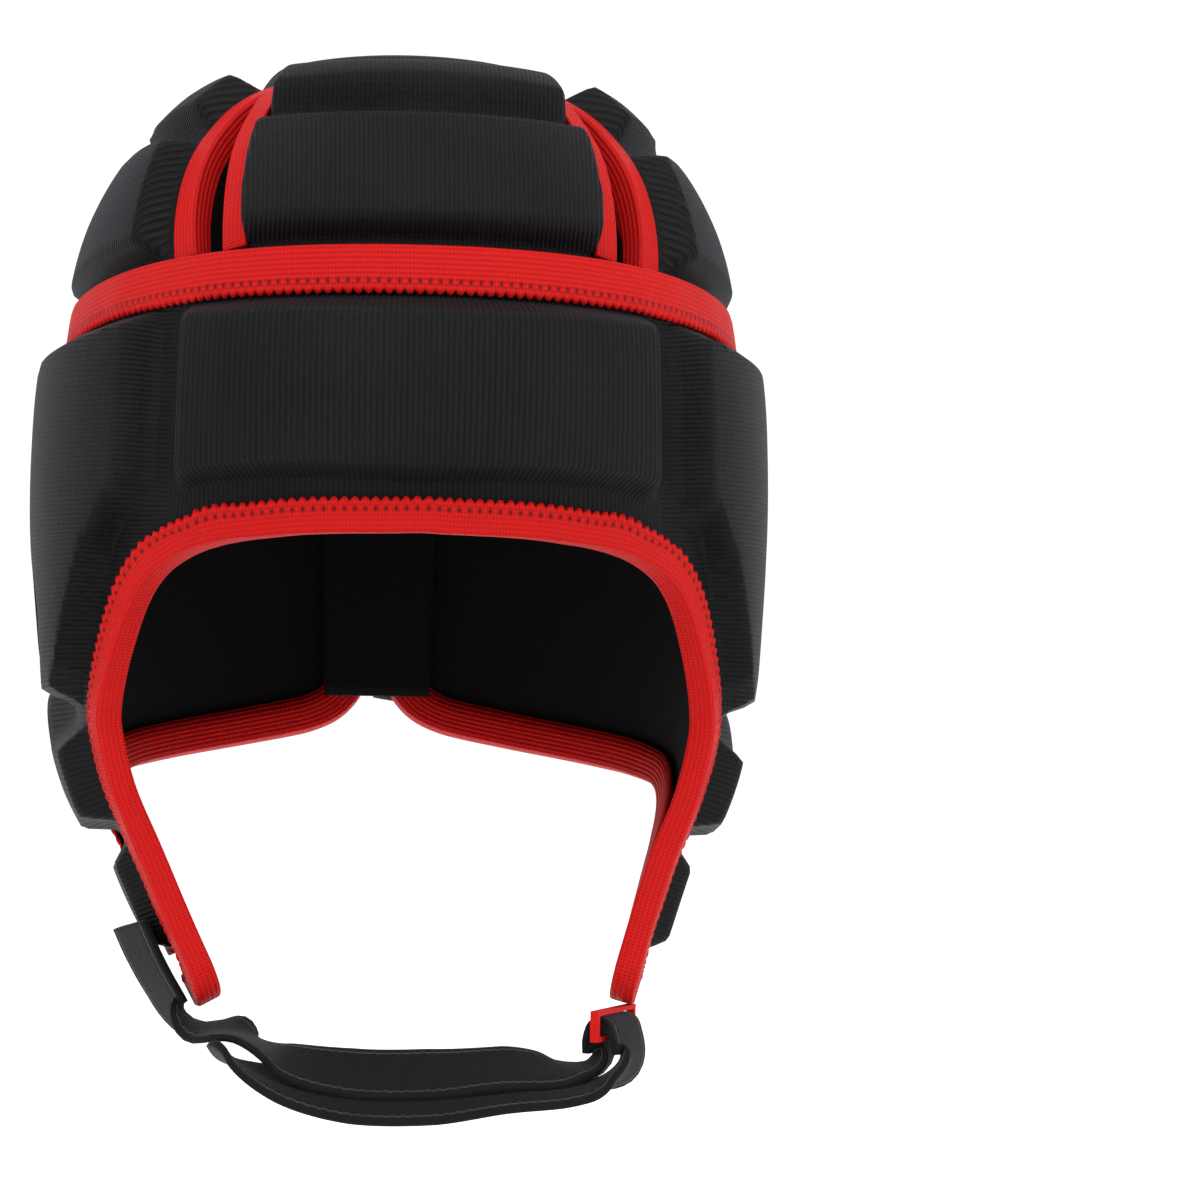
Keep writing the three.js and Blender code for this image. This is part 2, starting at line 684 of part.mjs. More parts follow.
// A flat strip swept through [x, y, z] points, its width along a direction given at each point
function strip(rows, width, thick) {
  const points = rows.map((row) => row.at);
  const rings = rows.map(({ at, across }, i) => {
    const run = points[Math.min(i + 1, points.length - 1)].clone().sub(points[Math.max(i - 1, 0)]).normalize();
    const wide = across.clone().addScaledVector(run, -across.dot(run)).normalize();
    const normal = run.clone().cross(wide);
    return [[-1, -1], [1, -1], [1, 1], [-1, 1]].map(([w, n]) => (
      at.clone().addScaledVector(wide, (w * width) / 2).addScaledVector(normal, (n * thick) / 2)
    ));
  });
  return loft(rings);
}

const vec = (x, y, z) => new THREE.Vector3(x, y, z);

// A round cord through points, six-sided
function cord(points, steps) {
  const round = new THREE.EllipseCurve(0, 0, laceThick / 2, laceThick / 2, 0, 2 * Math.PI);
  const circle = new THREE.Shape(round.getPoints(6).slice(0, 6));
  const path = new THREE.CatmullRomCurve3(points);
  return new THREE.ExtrudeGeometry(circle, { steps, bevelEnabled: false, extrudePath: path });
}

// Strap: [x, y, z] of its centre and the lean of its width, from the wearer's right flap, under the chin
// and up through the keeper, then folded back along its outside to its free end
const strapUnder = [
  [-40, -62, -244, 14], [-29, -64, -249.5, 26], [-12, -66, -252.5, 33], [8, -66, -252.5, 33], [27, -65, -251, 26],
  [42, -61.5, -251.6, 10],
];
const strapBack = [
  [50, -65.6, -254, 8], [42, -68.4, -255.4, 18], [27, -70, -256, 26], [8, -71.4, -258, 33],
  [-12, -71.4, -258, 33], [-29, -69.4, -255, 26], [-42, -67, -249.6, 14], [-47.6, -66, -245, 10],
];

// Keeper: its middle, its plane, and the strap's fold through it as [out, up] from its middle
const keeperAt = new THREE.Vector3(54, -58.6, -240);
const keeperWide = new THREE.Vector3(0.482, 0.876, 0).normalize();
const keeperOut = new THREE.Vector3(0.876, -0.482, 0).normalize();
const keeperBars = { low: -3.2, high: 3.4, halfWide: 11.6 };
const strapFold = [[-4.2, -9], [-3.6, -2.8], [-2.2, 0.5], [0, 1.3], [2.2, 0.5], [3.6, -2.8], [4.2, -9]];

// Its sewn end, over the right flap's pad and down past the tip: [mm above the form's foot, mm out]
const strapOver = edgeFoam + flapPadHeight + 2 * clearance + strapThick / 2;
const strapSewn = [[24, strapOver + 0.6], [16, strapOver + 0.6], [8, strapOver], [1, strapOver - 1.2]];

function strapRows() {
  const leaning = (at, lean) => {
    const cross = Math.max(-1, Math.min(1, at.x / 45)) * 0.55;
    return { at, across: vec(cross, Math.cos(rad(lean)), Math.sin(rad(lean))).normalize() };
  };
  const sewn = strapSewn.map(([above, out]) => leaning(bandOut(-57, headDrop - above, out), 0));
  const route = (rows) => rows.map(([x, y, z, lean]) => leaning(vec(x, y, z), lean));
  const fold = strapFold.map(([out, up]) => ({
    at: keeperAt.clone().addScaledVector(keeperOut, out).setZ(keeperAt.z + up),
    across: keeperWide,
  }));
  return [...sewn, ...route(strapUnder), ...fold, ...route(strapBack)];
}

// A webbing ring that hangs from the left flap's tip and holds the strap's fold
function keeper() {
  const { low, high, halfWide } = keeperBars;
  const middle = (low + high) / 2;
  const outline = [[-halfWide, low], [halfWide, low], [halfWide, high], [-halfWide, high]];
  const section = [[0.6, -1.1], [-0.6, -1.1], [-0.6, 1.1], [0.6, 1.1]];
  const rings = outline.map(([w, h]) => section.map(([grow, f]) => (
    keeperAt.clone()
      .addScaledVector(keeperWide, w + Math.sign(w) * grow)
      .addScaledVector(keeperOut, f)
      .setZ(keeperAt.z + h + Math.sign(h - middle) * grow)
  )));
  return loft(rings, true);
}

// Lace: cords over the split, as [mm from the split's middle, drop, out], and the bow as [x, y, z]
const laceFoot = edgeFoam + clearance + laceThick / 2;
const laceOver = edgeFoam + tapeGap + tapeThick + clearance + laceThick / 2 + 0.1;
const strands = {
  lace_cross_under: [
    [15.2, 83.4, laceFoot + 0.8], [12, 86, laceOver + 0.2], [6, 90.6, laceOver], [0, 94.5, laceOver],
    [-6, 98.4, laceOver], [-11.4, 102, laceOver + 0.2], [-15, 104, laceFoot + 0.8],
  ],
  lace_cross_over: [
    [-15.4, 81, laceFoot + 0.9], [-12.4, 83.6, laceOver + 0.2], [-6, 89.6, laceOver + 0.8], [0, 94.5, laceOver + 2.8],
    [6, 99.4, laceOver + 0.8], [11.4, 103, laceOver + 0.2], [15, 105.2, laceFoot + 0.8],
  ],
  lace_lower_left: [
    [2.6, 116.6, laceOver - 0.6], [6, 120.4, laceOver], [11.4, 128.4, laceOver + 0.2], [15, 131.4, laceFoot + 0.8],
  ],
  lace_lower_right: [
    [3, 113, laceOver - 0.6], [-2, 116.4, laceOver + 0.4], [-8, 122.6, laceOver], [-12, 128, laceOver + 0.2],
    [-15.2, 130.4, laceFoot + 0.8],
  ],
};
const knot = { at: [-1.4, 114, -157.4], radius: 4 };
const bow = {
  lace_to_knot_left: [[15.2, 109.6, -143.2], [10.8, 112, -145.2], [6, 113, -149], [2.4, 113.8, -152.6]],
  lace_to_knot_right: [
    [-15.4, 109.6, -143.8], [-11.2, 112, -145.8], [-7.6, 113, -149.4], [-5, 113.8, -153],
  ],
  bow_loop_left: [
    [3, 116, -155.6], [14, 121, -152], [27, 127, -145.5], [37, 129.5, -141.5], [42, 128, -143.5],
    [40.5, 125, -150], [30, 121.5, -156], [16, 117.5, -159], [3.2, 114.2, -158.8],
  ],
  bow_loop_right: [
    [-6, 115.3, -158.2], [-22, 120, -155.4], [-42, 120, -149], [-58, 114, -142.5], [-66, 108.5, -139.5],
    [-65, 107.5, -135.6], [-56, 113, -135.5], [-40, 121, -140], [-22, 122.5, -147.5], [-5, 117.4, -154.6],
  ],
  lace_tail_left: [[0.2, 115.2, -162], [10, 118, -163.6], [24, 116.5, -166], [37, 111.5, -169], [47, 106.5, -171.5]],
  lace_tail_right: [
    [-4.6, 115.6, -161.2], [-16, 118.4, -162.4], [-30, 117.4, -161], [-41, 113.5, -157], [-49, 110, -152.5],
  ],
};

const laced = (points) => points.map(([mm, drop, out]) => {
  const angle = 180 - mm * degreesPerMm(179, drop);
  return bandOut(angle > 180 ? angle - 360 : angle, drop, out);
});

const cloth = (color) => new THREE.MeshStandardMaterial({ color, roughness: 0.85, metalness: 0 });
const model = new THREE.Group();

function add(name, geometry, color) {
  const mesh = new THREE.Mesh(geometry, cloth(color));
  mesh.name = name;
  model.add(mesh);
}

const black = '#1d1d20';
const red = '#c81e1c';
const strapBlack = '#232325';
const laceBlack = '#141414';
add('crown_shell', crown(), black);
add('band_shell', band(), black);
add('band_tape', tape(bandTopPath(), bandOut, 1), red);
add('face_tape', tape(facePath(), bandOut, 1, faceTapeReach), red);
add('nape_tape_left', tape(napePath(1), bandOut, -1), red);
add('nape_tape_right', tape(napePath(-1), bandOut, 1), red);
vents.forEach((vent) => {
  add(`vent_tape_${vent.name}`, tape(ventTapePath(vent), outPoint, -1, ventTapeReach, ventTapeTuck), red);
});
add('slot_tape', tape(slotTapePath(), outPoint, -1, ventTapeReach, ventTapeTuck), red);
add('split_tab', tab(), red);
add('split_gusset', gusset(), black);
add('chin_strap', strip(strapRows(), strapWidth, strapThick), strapBlack);
add('strap_keeper', keeper(), red);
Object.entries(strands).forEach(([name, points]) => add(name, cord(laced(points), 6), laceBlack));
add('lace_knot', new THREE.IcosahedronGeometry(knot.radius, 1).translate(...knot.at), laceBlack);
Object.entries(bow).forEach(([name, points]) => {
  add(name, cord(points.map((p) => vec(...p)), points.length > 6 ? 15 : 7), laceBlack);
});

export default model;
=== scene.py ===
import math
import bpy
import numpy as np
from mathutils import Matrix, Quaternion, Vector


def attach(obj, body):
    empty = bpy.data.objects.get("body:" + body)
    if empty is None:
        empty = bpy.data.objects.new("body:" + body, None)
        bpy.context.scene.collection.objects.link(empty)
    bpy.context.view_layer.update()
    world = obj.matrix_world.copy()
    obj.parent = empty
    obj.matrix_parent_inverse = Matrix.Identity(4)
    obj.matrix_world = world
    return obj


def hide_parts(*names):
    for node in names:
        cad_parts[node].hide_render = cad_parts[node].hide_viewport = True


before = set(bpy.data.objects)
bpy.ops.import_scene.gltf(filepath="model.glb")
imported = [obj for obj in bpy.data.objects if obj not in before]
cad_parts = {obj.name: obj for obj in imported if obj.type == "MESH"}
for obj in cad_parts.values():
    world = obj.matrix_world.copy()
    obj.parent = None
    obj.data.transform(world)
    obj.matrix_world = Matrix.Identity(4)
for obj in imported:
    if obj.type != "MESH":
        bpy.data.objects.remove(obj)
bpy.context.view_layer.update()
print("frame loaded")

mm = 0.001

# Sizes in millimetres. Angles run from the front towards the wearer's left, drops down from the inside top.
head = {"halfBreadth": 80.5, "frontReach": 98, "backReach": 105, "headDrop": 235,
        "flapStart": 165, "flapSwing": 8.5, "tuckLeft": 0, "tuckRight": 9}
foam = {"edge": 3, "hem": 2.5, "pad": 8, "flapPad": 5.5, "bevel": 4.5, "groove": 4.5, "bulge": 0.7,
        "hemDepth": 10, "blend": 0.17}
ribbon = {"thick": 1.1, "gap": 0.65, "clearance": 0.4, "reach": 9, "faceReach": 6, "tuck": 8,
          "ventReach": 5.5, "ventTuck": 5, "round": 0.8, "picot": 1.15, "pitch": 2.45, "step": 0.49}
bandTop = {"front": 50, "side": 63, "back": 68}
topPadEdge = {"front": 4.4, "side": 4.6, "back": 4.4}
padGroove = {"front": 17, "side": 24, "back": 31}
topPadShare = 0.62
flap = {"front": 47.5, "back": 78}
split = {"edge": 177.8, "slotDrop": 10, "slotHalf": 4.6}
ear = {"angle": 82, "drop": 147, "radius": 17, "flare": 3.55}
gapShape = {"margin": 2, "head": 7, "length": 22}

# Head form: drop, side, front, back as shares of the sizes, and the power of the rounded outline
sections = np.array([
    [0, 0, 0, 0, 2],
    [0.005, 0.25, 0.275, 0.267, 2],
    [0.019, 0.447, 0.5, 0.486, 2],
    [0.043, 0.596, 0.663, 0.638, 2],
    [0.077, 0.714, 0.79, 0.762, 2],
    [0.119, 0.814, 0.878, 0.852, 2.05],
    [0.179, 0.9, 0.944, 0.924, 2.1],
    [0.247, 0.957, 0.98, 0.971, 2.15],
    [0.319, 0.988, 0.995, 0.995, 2.2],
    [0.404, 1, 1, 1, 2.25],
    [0.511, 1, 1, 0.986, 2.35],
    [0.617, 0.981, 1.01, 0.952, 2.6],
    [0.702, 0.944, 1.03, 0.905, 2.9],
    [0.766, 0.888, 1.04, 0.867, 3],
    [0.83, 0.807, 1.04, 0.829, 3],
    [0.894, 0.745, 1.03, 0.79, 3],
    [1, 0.658, 1, 0.733, 3],
]) * [head["headDrop"], head["halfBreadth"], head["frontReach"], head["backReach"], 1]

# Vents between the petals: name, angle at the rim and at the tip, drop of the tip, half width
vents = [
    ("front_left", 33.3, 42, 10.5, 5.3),
    ("front_right", -33.3, -42, 10.5, 5.3),
    ("rear_left", 108, 112, 20, 5.2),
    ("rear_right", -108, -112, 20, 5.2),
]
ventShape = [(0, 0.86), (0.3, 1), (0.58, 0.96), (0.8, 0.7), (0.93, 0.38)]
slotShape = [(0, 1), (0.35, 0.95), (0.7, 0.72), (0.9, 0.42)]
petalCentres = [0, 71, 143]

# Edges and grooves of the band, as [angle, drop]
faceEdge = [[0, 116], [20, 118], [31, 122], [38.5, 129.5], [41.5, 136], [44, 145], [47.5, 163]]
jawGroove = [[47.5, 163], [80, 163], [113, 151], [160, 149], [171, 147], [177.8, 140]]
flapGroove = [[47.5, 190], [62, 191], [78, 197]]
napeEdge = [[78, 197], [84, 192], [90, 188.5], [100, 184.5], [113, 181], [129, 179], [147, 176],
            [160, 172.5], [168, 169.5], [171.5, 167.5], [174.6, 163.5], [177.8, 155]]
flapTip = [[47.5, 227], [50, 231], [54.5, 232], [58, 232], [62, 229.5], [66, 222], [70, 212],
           [74, 203.5], [78, 197]]
faceInset = [[0, 10.4], [31, 13], [38.5, 18], [41.5, 23], [44, 30], [47.5, 38], [50, 26], [54.5, 8], [58, 2.3]]
napeInset = [[70, 2.3], [78, 7], [84, 13], [100, 11], [168, 11], [171.5, 13], [177.8, 20]]
backSpans = [(117, 156.5), (160, 170)]
bandSpans = [[(-34, 34), (38.5, 113)] + backSpans, [(54.5, 113)] + backSpans, [(53, 74)]]
bandRamp = 3
ribTurn = 35

# Ear vents: [back, up, half width, half height, lean]
earHoles = [
    [-1, 10, 2.1, 2.1, 0],
    [8.5, 11.5, 2.5, 5.4, 8],
    [-8, 0.5, 3, 4.2, 15],
    [8, -1.5, 2.4, 3.9, 12],
    [-12.5, -13.5, 2.9, 5.2, 32],
    [-0.5, -12.5, 2.1, 2.1, 0],
]


def sectionAt(place):
    last = len(sections) - 1
    spot = np.clip(place, 0, last)
    i = np.minimum(np.floor(spot).astype(int), last - 1)
    t = (spot - i)[..., None]
    a, b, c, d = (sections[np.clip(i + k, 0, last)] for k in (-1, 0, 1, 2))
    made = b + 0.5 * t * (c - a + t * (2 * a - 5 * b + 4 * c - d + t * (3 * (b - c) + d - a)))
    made[..., 4] = (b + t * (c - b))[..., 4]
    return made


placeRow = np.linspace(0, len(sections) - 1, 3201)
dropRow = sectionAt(placeRow)[..., 0]


def formPoint(angle, place):
    drop, side, front, back, square = np.moveaxis(sectionAt(place), -1, 0)
    across, ahead = np.sin(np.radians(angle)), np.cos(np.radians(angle))
    reach = np.where(ahead >= 0, front, back)
    shares = [np.abs(across) / np.maximum(side, 1e-6), np.abs(ahead) / np.maximum(reach, 1e-6)]
    r = (shares[0] ** square + shares[1] ** square) ** (-1 / square)
    below = np.maximum(drop - head["flapStart"], 0) / (head["headDrop"] - head["flapStart"])
    tuck = np.where(across > 0, -head["tuckLeft"], head["tuckRight"]) * below ** 2
    return np.stack([r * across + tuck, -r * ahead, -drop], -1)


def outPoint(angle, drop, out):
    angle, drop, out = np.broadcast_arrays(*(np.asarray(v, float) for v in (angle, drop, out)))
    place = np.interp(drop, dropRow, placeRow)
    point = formPoint(angle, place)
    turn = formPoint(angle + 0.5, place) - formPoint(angle - 0.5, place)
    fall = formPoint(angle, place + 0.04) - formPoint(angle, place - 0.04)
    normal = np.cross(fall, turn)
    normal[place < 0.01] = (0, 0, 1)
    normal /= np.linalg.norm(normal, axis=-1, keepdims=True)
    return point + normal * out[..., None]


bandSeat = foam["hem"] + ribbon["clearance"] + ribbon["thick"] + ribbon["gap"]
tapeFar = ribbon["gap"] + ribbon["thick"]


def bandOut(u, drop, out):
    u, drop = np.broadcast_arrays(np.asarray(u, float), np.asarray(drop, float))
    low = np.maximum(drop - head["flapStart"], 0) / (head["headDrop"] - head["flapStart"])
    return outPoint(u - np.sign(u) * head["flapSwing"] * low ** 1.3, drop, bandSeat + np.asarray(out, float))


def around(size, angle):
    second = (size["front"] + size["back"] - 2 * size["side"]) / 4
    first = (size["front"] - size["back"]) / 2
    return size["side"] + second + first * np.cos(np.radians(angle)) + second * np.cos(2 * np.radians(angle))


def degreesPerMm(angle, drop):
    ends = [outPoint(angle + step, drop, foam["edge"]) for step in (-0.5, 0.5)]
    return 1 / np.linalg.norm(ends[1] - ends[0], axis=-1)


def dropPerMm(angle, drop):
    high, low = np.maximum(drop - 0.3, 0.1), drop + 0.3
    ends = [outPoint(angle, level, foam["edge"]) for level in (high, low)]
    return (low - high) / np.linalg.norm(ends[1] - ends[0], axis=-1)


def spline(points, parts):
    # a centripetal curve through the points, with parts steps between each two
    p = np.asarray(points, float)
    p = np.vstack([2 * p[0] - p[1], p, 2 * p[-1] - p[-2]])
    made = []
    for i in range(1, len(p) - 2):
        knots = [0.0]
        for a, b in zip(p[i - 1:i + 2], p[i:i + 3]):
            knots.append(knots[-1] + max(np.linalg.norm(b - a), 1e-6) ** 0.5)
        t0, t1, t2, t3 = knots
        last = i == len(p) - 3
        t = np.linspace(t1, t2, parts + 1)[: parts + 1 if last else parts, None]
        a1 = ((t1 - t) * p[i - 1] + (t - t0) * p[i]) / (t1 - t0)
        a2 = ((t2 - t) * p[i] + (t - t1) * p[i + 1]) / (t2 - t1)
        a3 = ((t3 - t) * p[i + 1] + (t - t2) * p[i + 2]) / (t3 - t2)
        b1 = ((t2 - t) * a1 + (t - t0) * a2) / (t2 - t0)
        b2 = ((t3 - t) * a2 + (t - t1) * a3) / (t3 - t1)
        made.append(((t2 - t) * b1 + (t - t1) * b2) / (t2 - t1))
    return np.vstack(made)


def smoothAlong(table, x):
    # a smooth curve through a table of [x, y], read at x
    points = np.asarray(table, float)
    slopes = np.gradient(points[:, 1], points[:, 0])
    x = np.clip(np.asarray(x, float), points[0, 0], points[-1, 0])
    i = np.clip(np.searchsorted(points[:, 0], x) - 1, 0, len(points) - 2)
    x0, x1 = points[i, 0], points[i + 1, 0]
    y0, y1 = points[i, 1], points[i + 1, 1]
    t = (x - x0) / (x1 - x0)
    s0, s1 = slopes[i] * (x1 - x0), slopes[i + 1] * (x1 - x0)
    return ((2 * t ** 3 - 3 * t ** 2 + 1) * y0 + (t ** 3 - 2 * t ** 2 + t) * s0
            + (3 * t ** 2 - 2 * t ** 3) * y1 + (t ** 3 - t ** 2) * s1)


def softMin(values):
    # the least of several distances, its corners rounded
    k = foam["blend"]
    stack = np.stack(values)
    least = stack.min(axis=0)
    return least - k * np.log(np.exp(-np.clip(stack - least, 0, 40 * k) / k).sum(axis=0))


def padLift(t, height):
    # height over a groove's floor at t bevel widths inside a pad's edge: rounded bevel, crowned top
    ramp = np.clip(t, 0, 1)
    bevel = 0.6 * ramp + 0.4 * ramp * ramp * (3 - 2 * ramp)
    crown = 1 - np.exp(-np.clip(t - 0.7, 0, None) / 2.2)
    return height * bevel + foam["bulge"] * crown


# Materials
def linear(code):
    values = [int(code[i:i + 2], 16) / 255 for i in (1, 3, 5)]
    return [v / 12.92 if v <= 0.04045 else ((v + 0.055) / 1.055) ** 2.4 for v in values] + [1]


def wire(tree, node, *links):
    # each link as (input, value or another node's output)
    for socket, source in links:
        if isinstance(source, bpy.types.NodeSocket):
            tree.links.new(source, node.inputs[socket])
        else:
            node.inputs[socket].default_value = source
    return node.outputs


def add(tree, kind, *links, **settings):
    made = tree.nodes.new(kind)
    for key, value in settings.items():
        setattr(made, key, value)
    return wire(tree, made, *links)


def material(name, values):
    made = bpy.data.materials.new(name)
    made.use_nodes = True
    made.diffuse_color = linear(values["colour"])
    tree = made.node_tree
    shader = tree.nodes["Principled BSDF"]
    wire(tree, shader, ("Base Color", linear(values["colour"])), ("Roughness", values["rough"]),
         ("Specular IOR Level", values["specular"]), ("Sheen Weight", values.get("sheen", 0)),
         ("Sheen Roughness", values.get("sheenRough", 0.4)), ("Sheen Tint", linear(values.get("sheenTint", "#ffffff"))))
    return made, tree, shader


def clothWaves(tree, *waves):
    # sines along the cloth's own coordinates, each as (axis, mm from crest to crest, phase)
    uv = add(tree, "ShaderNodeUVMap", uv_map="cloth")
    axes = add(tree, "ShaderNodeSeparateXYZ", (0, uv[0]))
    made = []
    for axis, pitch, phase in waves:
        turns = add(tree, "ShaderNodeMath", (0, axes[axis]), (1, 2 * math.pi / pitch), (2, phase),
                    operation="MULTIPLY_ADD")
        made.append(add(tree, "ShaderNodeMath", (0, turns[0]), operation="SINE")[0])
    return axes, made


def knitMaterial():
    # fine ribs, crossed by flatter courses and grain: the eye reads stretch knit over foam, dull and soft
    values = {"colour": "#111012", "rough": 0.58, "specular": 0.07, "sheen": 0.05, "sheenRough": 0.25,
              "sheenTint": "#aebbd6", "rib": 1.15, "course": 0.8, "relief": 0.12, "dark": "#050405",
              "light": "#121113"}
    made, tree, shader = material("ribbed knit", values)
    _, (rib, course) = clothWaves(tree, (0, values["rib"], 0), (1, values["course"], 0))
    stitch = add(tree, "ShaderNodeMath", (0, course), (1, 0.14), (2, rib), operation="MULTIPLY_ADD")
    place = add(tree, "ShaderNodeTexCoord")["Object"]
    grain = add(tree, "ShaderNodeTexNoise", ("Vector", place), ("Scale", 900.0), ("Detail", 3.0))
    height = add(tree, "ShaderNodeMath", (0, grain[0]), (1, 2.0), (2, stitch[0]), operation="MULTIPLY_ADD")
    bump = add(tree, "ShaderNodeBump", ("Height", height[0]), ("Distance", values["relief"] * mm))
    cloud = add(tree, "ShaderNodeTexNoise", ("Vector", place), ("Scale", 26.0), ("Detail", 4.0))
    # the colour follows the ribs: their troughs are painted darker and their crests lighter as painted shade, and the
    # cloud noise adds random tone
    ribShadeAndTone = add(tree, "ShaderNodeMath", (0, rib), (1, 0.3), (2, cloud[0]), operation="MULTIPLY_ADD")
    colour = add(tree, "ShaderNodeMix", (0, ribShadeAndTone[0]), (6, linear(values["dark"])), (7, linear(values["light"])),
                 data_type="RGBA")
    wire(tree, shader, ("Base Color", colour[2]), ("Normal", bump[0]))
    return made


def liningAndShadeMaterial():
    # matt and near black, the lining's own colour darkened further as painted shade, so that the hollow reads as deep
    values = {"colour": "#0d0b0c", "rough": 0.9, "specular": 0.08, "relief": 0.1}
    made, tree, shader = material("liningAndShade", values)
    place = add(tree, "ShaderNodeTexCoord")["Object"]
    grain = add(tree, "ShaderNodeTexNoise", ("Vector", place), ("Scale", 700.0), ("Detail", 2.0))
    bump = add(tree, "ShaderNodeBump", ("Height", grain[0]), ("Distance", values["relief"] * mm))
    wire(tree, shader, ("Normal", bump[0]))
    return made


def tapeMaterial(name, picot):
    # ribs with threads across them, and a row of dark stitch holes beside the looped edge: woven elastic
    values = {"colour": "#b01412", "rough": 0.55, "specular": 0.06, "sheenTint": "#ffb0a8", "rib": 1.25,
              "cross": 0.85, "relief": 0.085, "dark": "#860a09", "light": "#ae1210", "hole": "#2c0505",
              "holeLane": 1.8}
    made, tree, shader = material(name, values)
    axes, (rib, cross, dot) = clothWaves(tree, (1, values["rib"], 0), (0, values["cross"], 0),
                                         (0, ribbon["pitch"], math.pi / 2))
    weave = add(tree, "ShaderNodeMath", (0, cross), (1, 0.8), (2, rib), operation="MULTIPLY_ADD")
    # the colour follows the weave's height: its troughs are painted darker and its crests lighter as painted shade
    share = add(tree, "ShaderNodeMath", (0, weave[0]), (1, 0.2), (2, 0.5), operation="MULTIPLY_ADD")
    colour = add(tree, "ShaderNodeMix", (0, share[0]), (6, linear(values["dark"])), (7, linear(values["light"])),
                 data_type="RGBA")
    if picot:
        off = add(tree, "ShaderNodeMath", (0, axes[1]), (1, values["holeLane"]), operation="SUBTRACT")
        off = add(tree, "ShaderNodeMath", (0, off[0]), operation="ABSOLUTE")
        lane = add(tree, "ShaderNodeMapRange", (0, off[0]), (1, 0.0), (2, 1.0), (3, 1.0), (4, 0.0))
        spot = add(tree, "ShaderNodeMapRange", (0, dot), (1, -1.0), (2, 1.0), (3, 1.0), (4, 0.0))
        spot = add(tree, "ShaderNodeMath", (0, spot[0]), (1, 2.0), operation="POWER")
        hole = add(tree, "ShaderNodeMath", (0, spot[0]), (1, lane[0]), operation="MULTIPLY")
        colour = add(tree, "ShaderNodeMix", (0, hole[0]), (6, colour[2]), (7, linear(values["hole"])),
                     data_type="RGBA")
        weave = add(tree, "ShaderNodeMath", (0, hole[0]), (1, -2.5), (2, weave[0]), operation="MULTIPLY_ADD")
    bump = add(tree, "ShaderNodeBump", ("Height", weave[0]), ("Distance", values["relief"] * mm))
    wire(tree, shader, ("Base Color", colour[2]), ("Normal", bump[0]))
    return made


def keeperMaterial():
    # fine threads with no direction, because the loop is too thin for its weave to show
    values = {"colour": "#a1100e", "rough": 0.6, "specular": 0.06, "relief": 0.15}
    made, tree, shader = material("red webbing", values)
    place = add(tree, "ShaderNodeTexCoord")["Object"]
    threads = add(tree, "ShaderNodeTexNoise", ("Vector", place), ("Scale", 1500.0), ("Detail", 2.0))
    bump = add(tree, "ShaderNodeBump", ("Height", threads[0]), ("Distance", values["relief"] * mm))
    wire(tree, shader, ("Normal", bump[0]))
    return made


def strapMaterial():
    # brushed pile with a sunk row of stitches near each edge, which shows that the strap is padded
    values = {"colour": "#121112", "rough": 0.85, "specular": 0.1, "sheen": 0.12, "sheenTint": "#c8ccd6",
              "stitch": 2.6, "stitchAt": 7.4, "relief": 0.3, "dark": "#050505", "light": "#121112",
              "thread": "#2c2c2e"}
    made, tree, shader = material("brushed strap", values)
    axes, (stitch,) = clothWaves(tree, (0, values["stitch"], 0))
    place = add(tree, "ShaderNodeTexCoord")["Object"]
    pile = add(tree, "ShaderNodeTexNoise", ("Vector", place), ("Scale", 1300.0), ("Detail", 4.0))
    edge = add(tree, "ShaderNodeMath", (0, axes[1]), operation="ABSOLUTE")
    edge = add(tree, "ShaderNodeMath", (0, edge[0]), (1, values["stitchAt"]), operation="SUBTRACT")
    edge = add(tree, "ShaderNodeMath", (0, edge[0]), operation="ABSOLUTE")
    lane = add(tree, "ShaderNodeMapRange", (0, edge[0]), (1, 0.0), (2, 1 / 1.8), (3, 1.0), (4, 0.0))
    dash = add(tree, "ShaderNodeMath", (0, stitch), (1, 0.5), (2, 0.5), operation="MULTIPLY_ADD")
    thread = add(tree, "ShaderNodeMath", (0, lane[0]), (1, dash[0]), operation="MULTIPLY")
    sunk = add(tree, "ShaderNodeMath", (0, lane[0]), (1, -1.6), (2, pile[0]), operation="MULTIPLY_ADD")
    height = add(tree, "ShaderNodeMath", (0, thread[0]), (1, 1.2), (2, sunk[0]), operation="MULTIPLY_ADD")
    bump = add(tree, "ShaderNodeBump", ("Height", height[0]), ("Distance", values["relief"] * mm))
    base = add(tree, "ShaderNodeMix", (0, pile[0]), (6, linear(values["dark"])), (7, linear(values["light"])),
               data_type="RGBA")
    colour = add(tree, "ShaderNodeMix", (0, thread[0]), (6, base[2]), (7, linear(values["thread"])),
                 data_type="RGBA")
    wire(tree, shader, ("Base Color", colour[2]), ("Normal", bump[0]))
    return made


def laceMaterial():
    # small cells, which read as the braid of a round cord
    values = {"colour": "#131213", "rough": 0.6, "specular": 0.3, "relief": 0.2}
    made, tree, shader = material("braided cord", values)
    place = add(tree, "ShaderNodeTexCoord")["Object"]
    braid = add(tree, "ShaderNodeTexVoronoi", ("Vector", place), ("Scale", 1100.0))["Distance"]
    bump = add(tree, "ShaderNodeBump", ("Height", braid), ("Distance", values["relief"] * mm))
    wire(tree, shader, ("Normal", bump[0]))
    return made


knit, liningAndShade = knitMaterial(), liningAndShadeMaterial()
picotTape, plainTape = tapeMaterial("picot tape", True), tapeMaterial("twill tape", False)
strapCloth, laceCord = strapMaterial(), laceMaterial()
print("materials")


# Camera, before the cords: where the photograph was taken from, in metres and degrees
shot = {"distance": 1.1, "azimuth": -3, "height": -0.133, "yaw": 2.82, "roll": 1.2, "lens": 124}


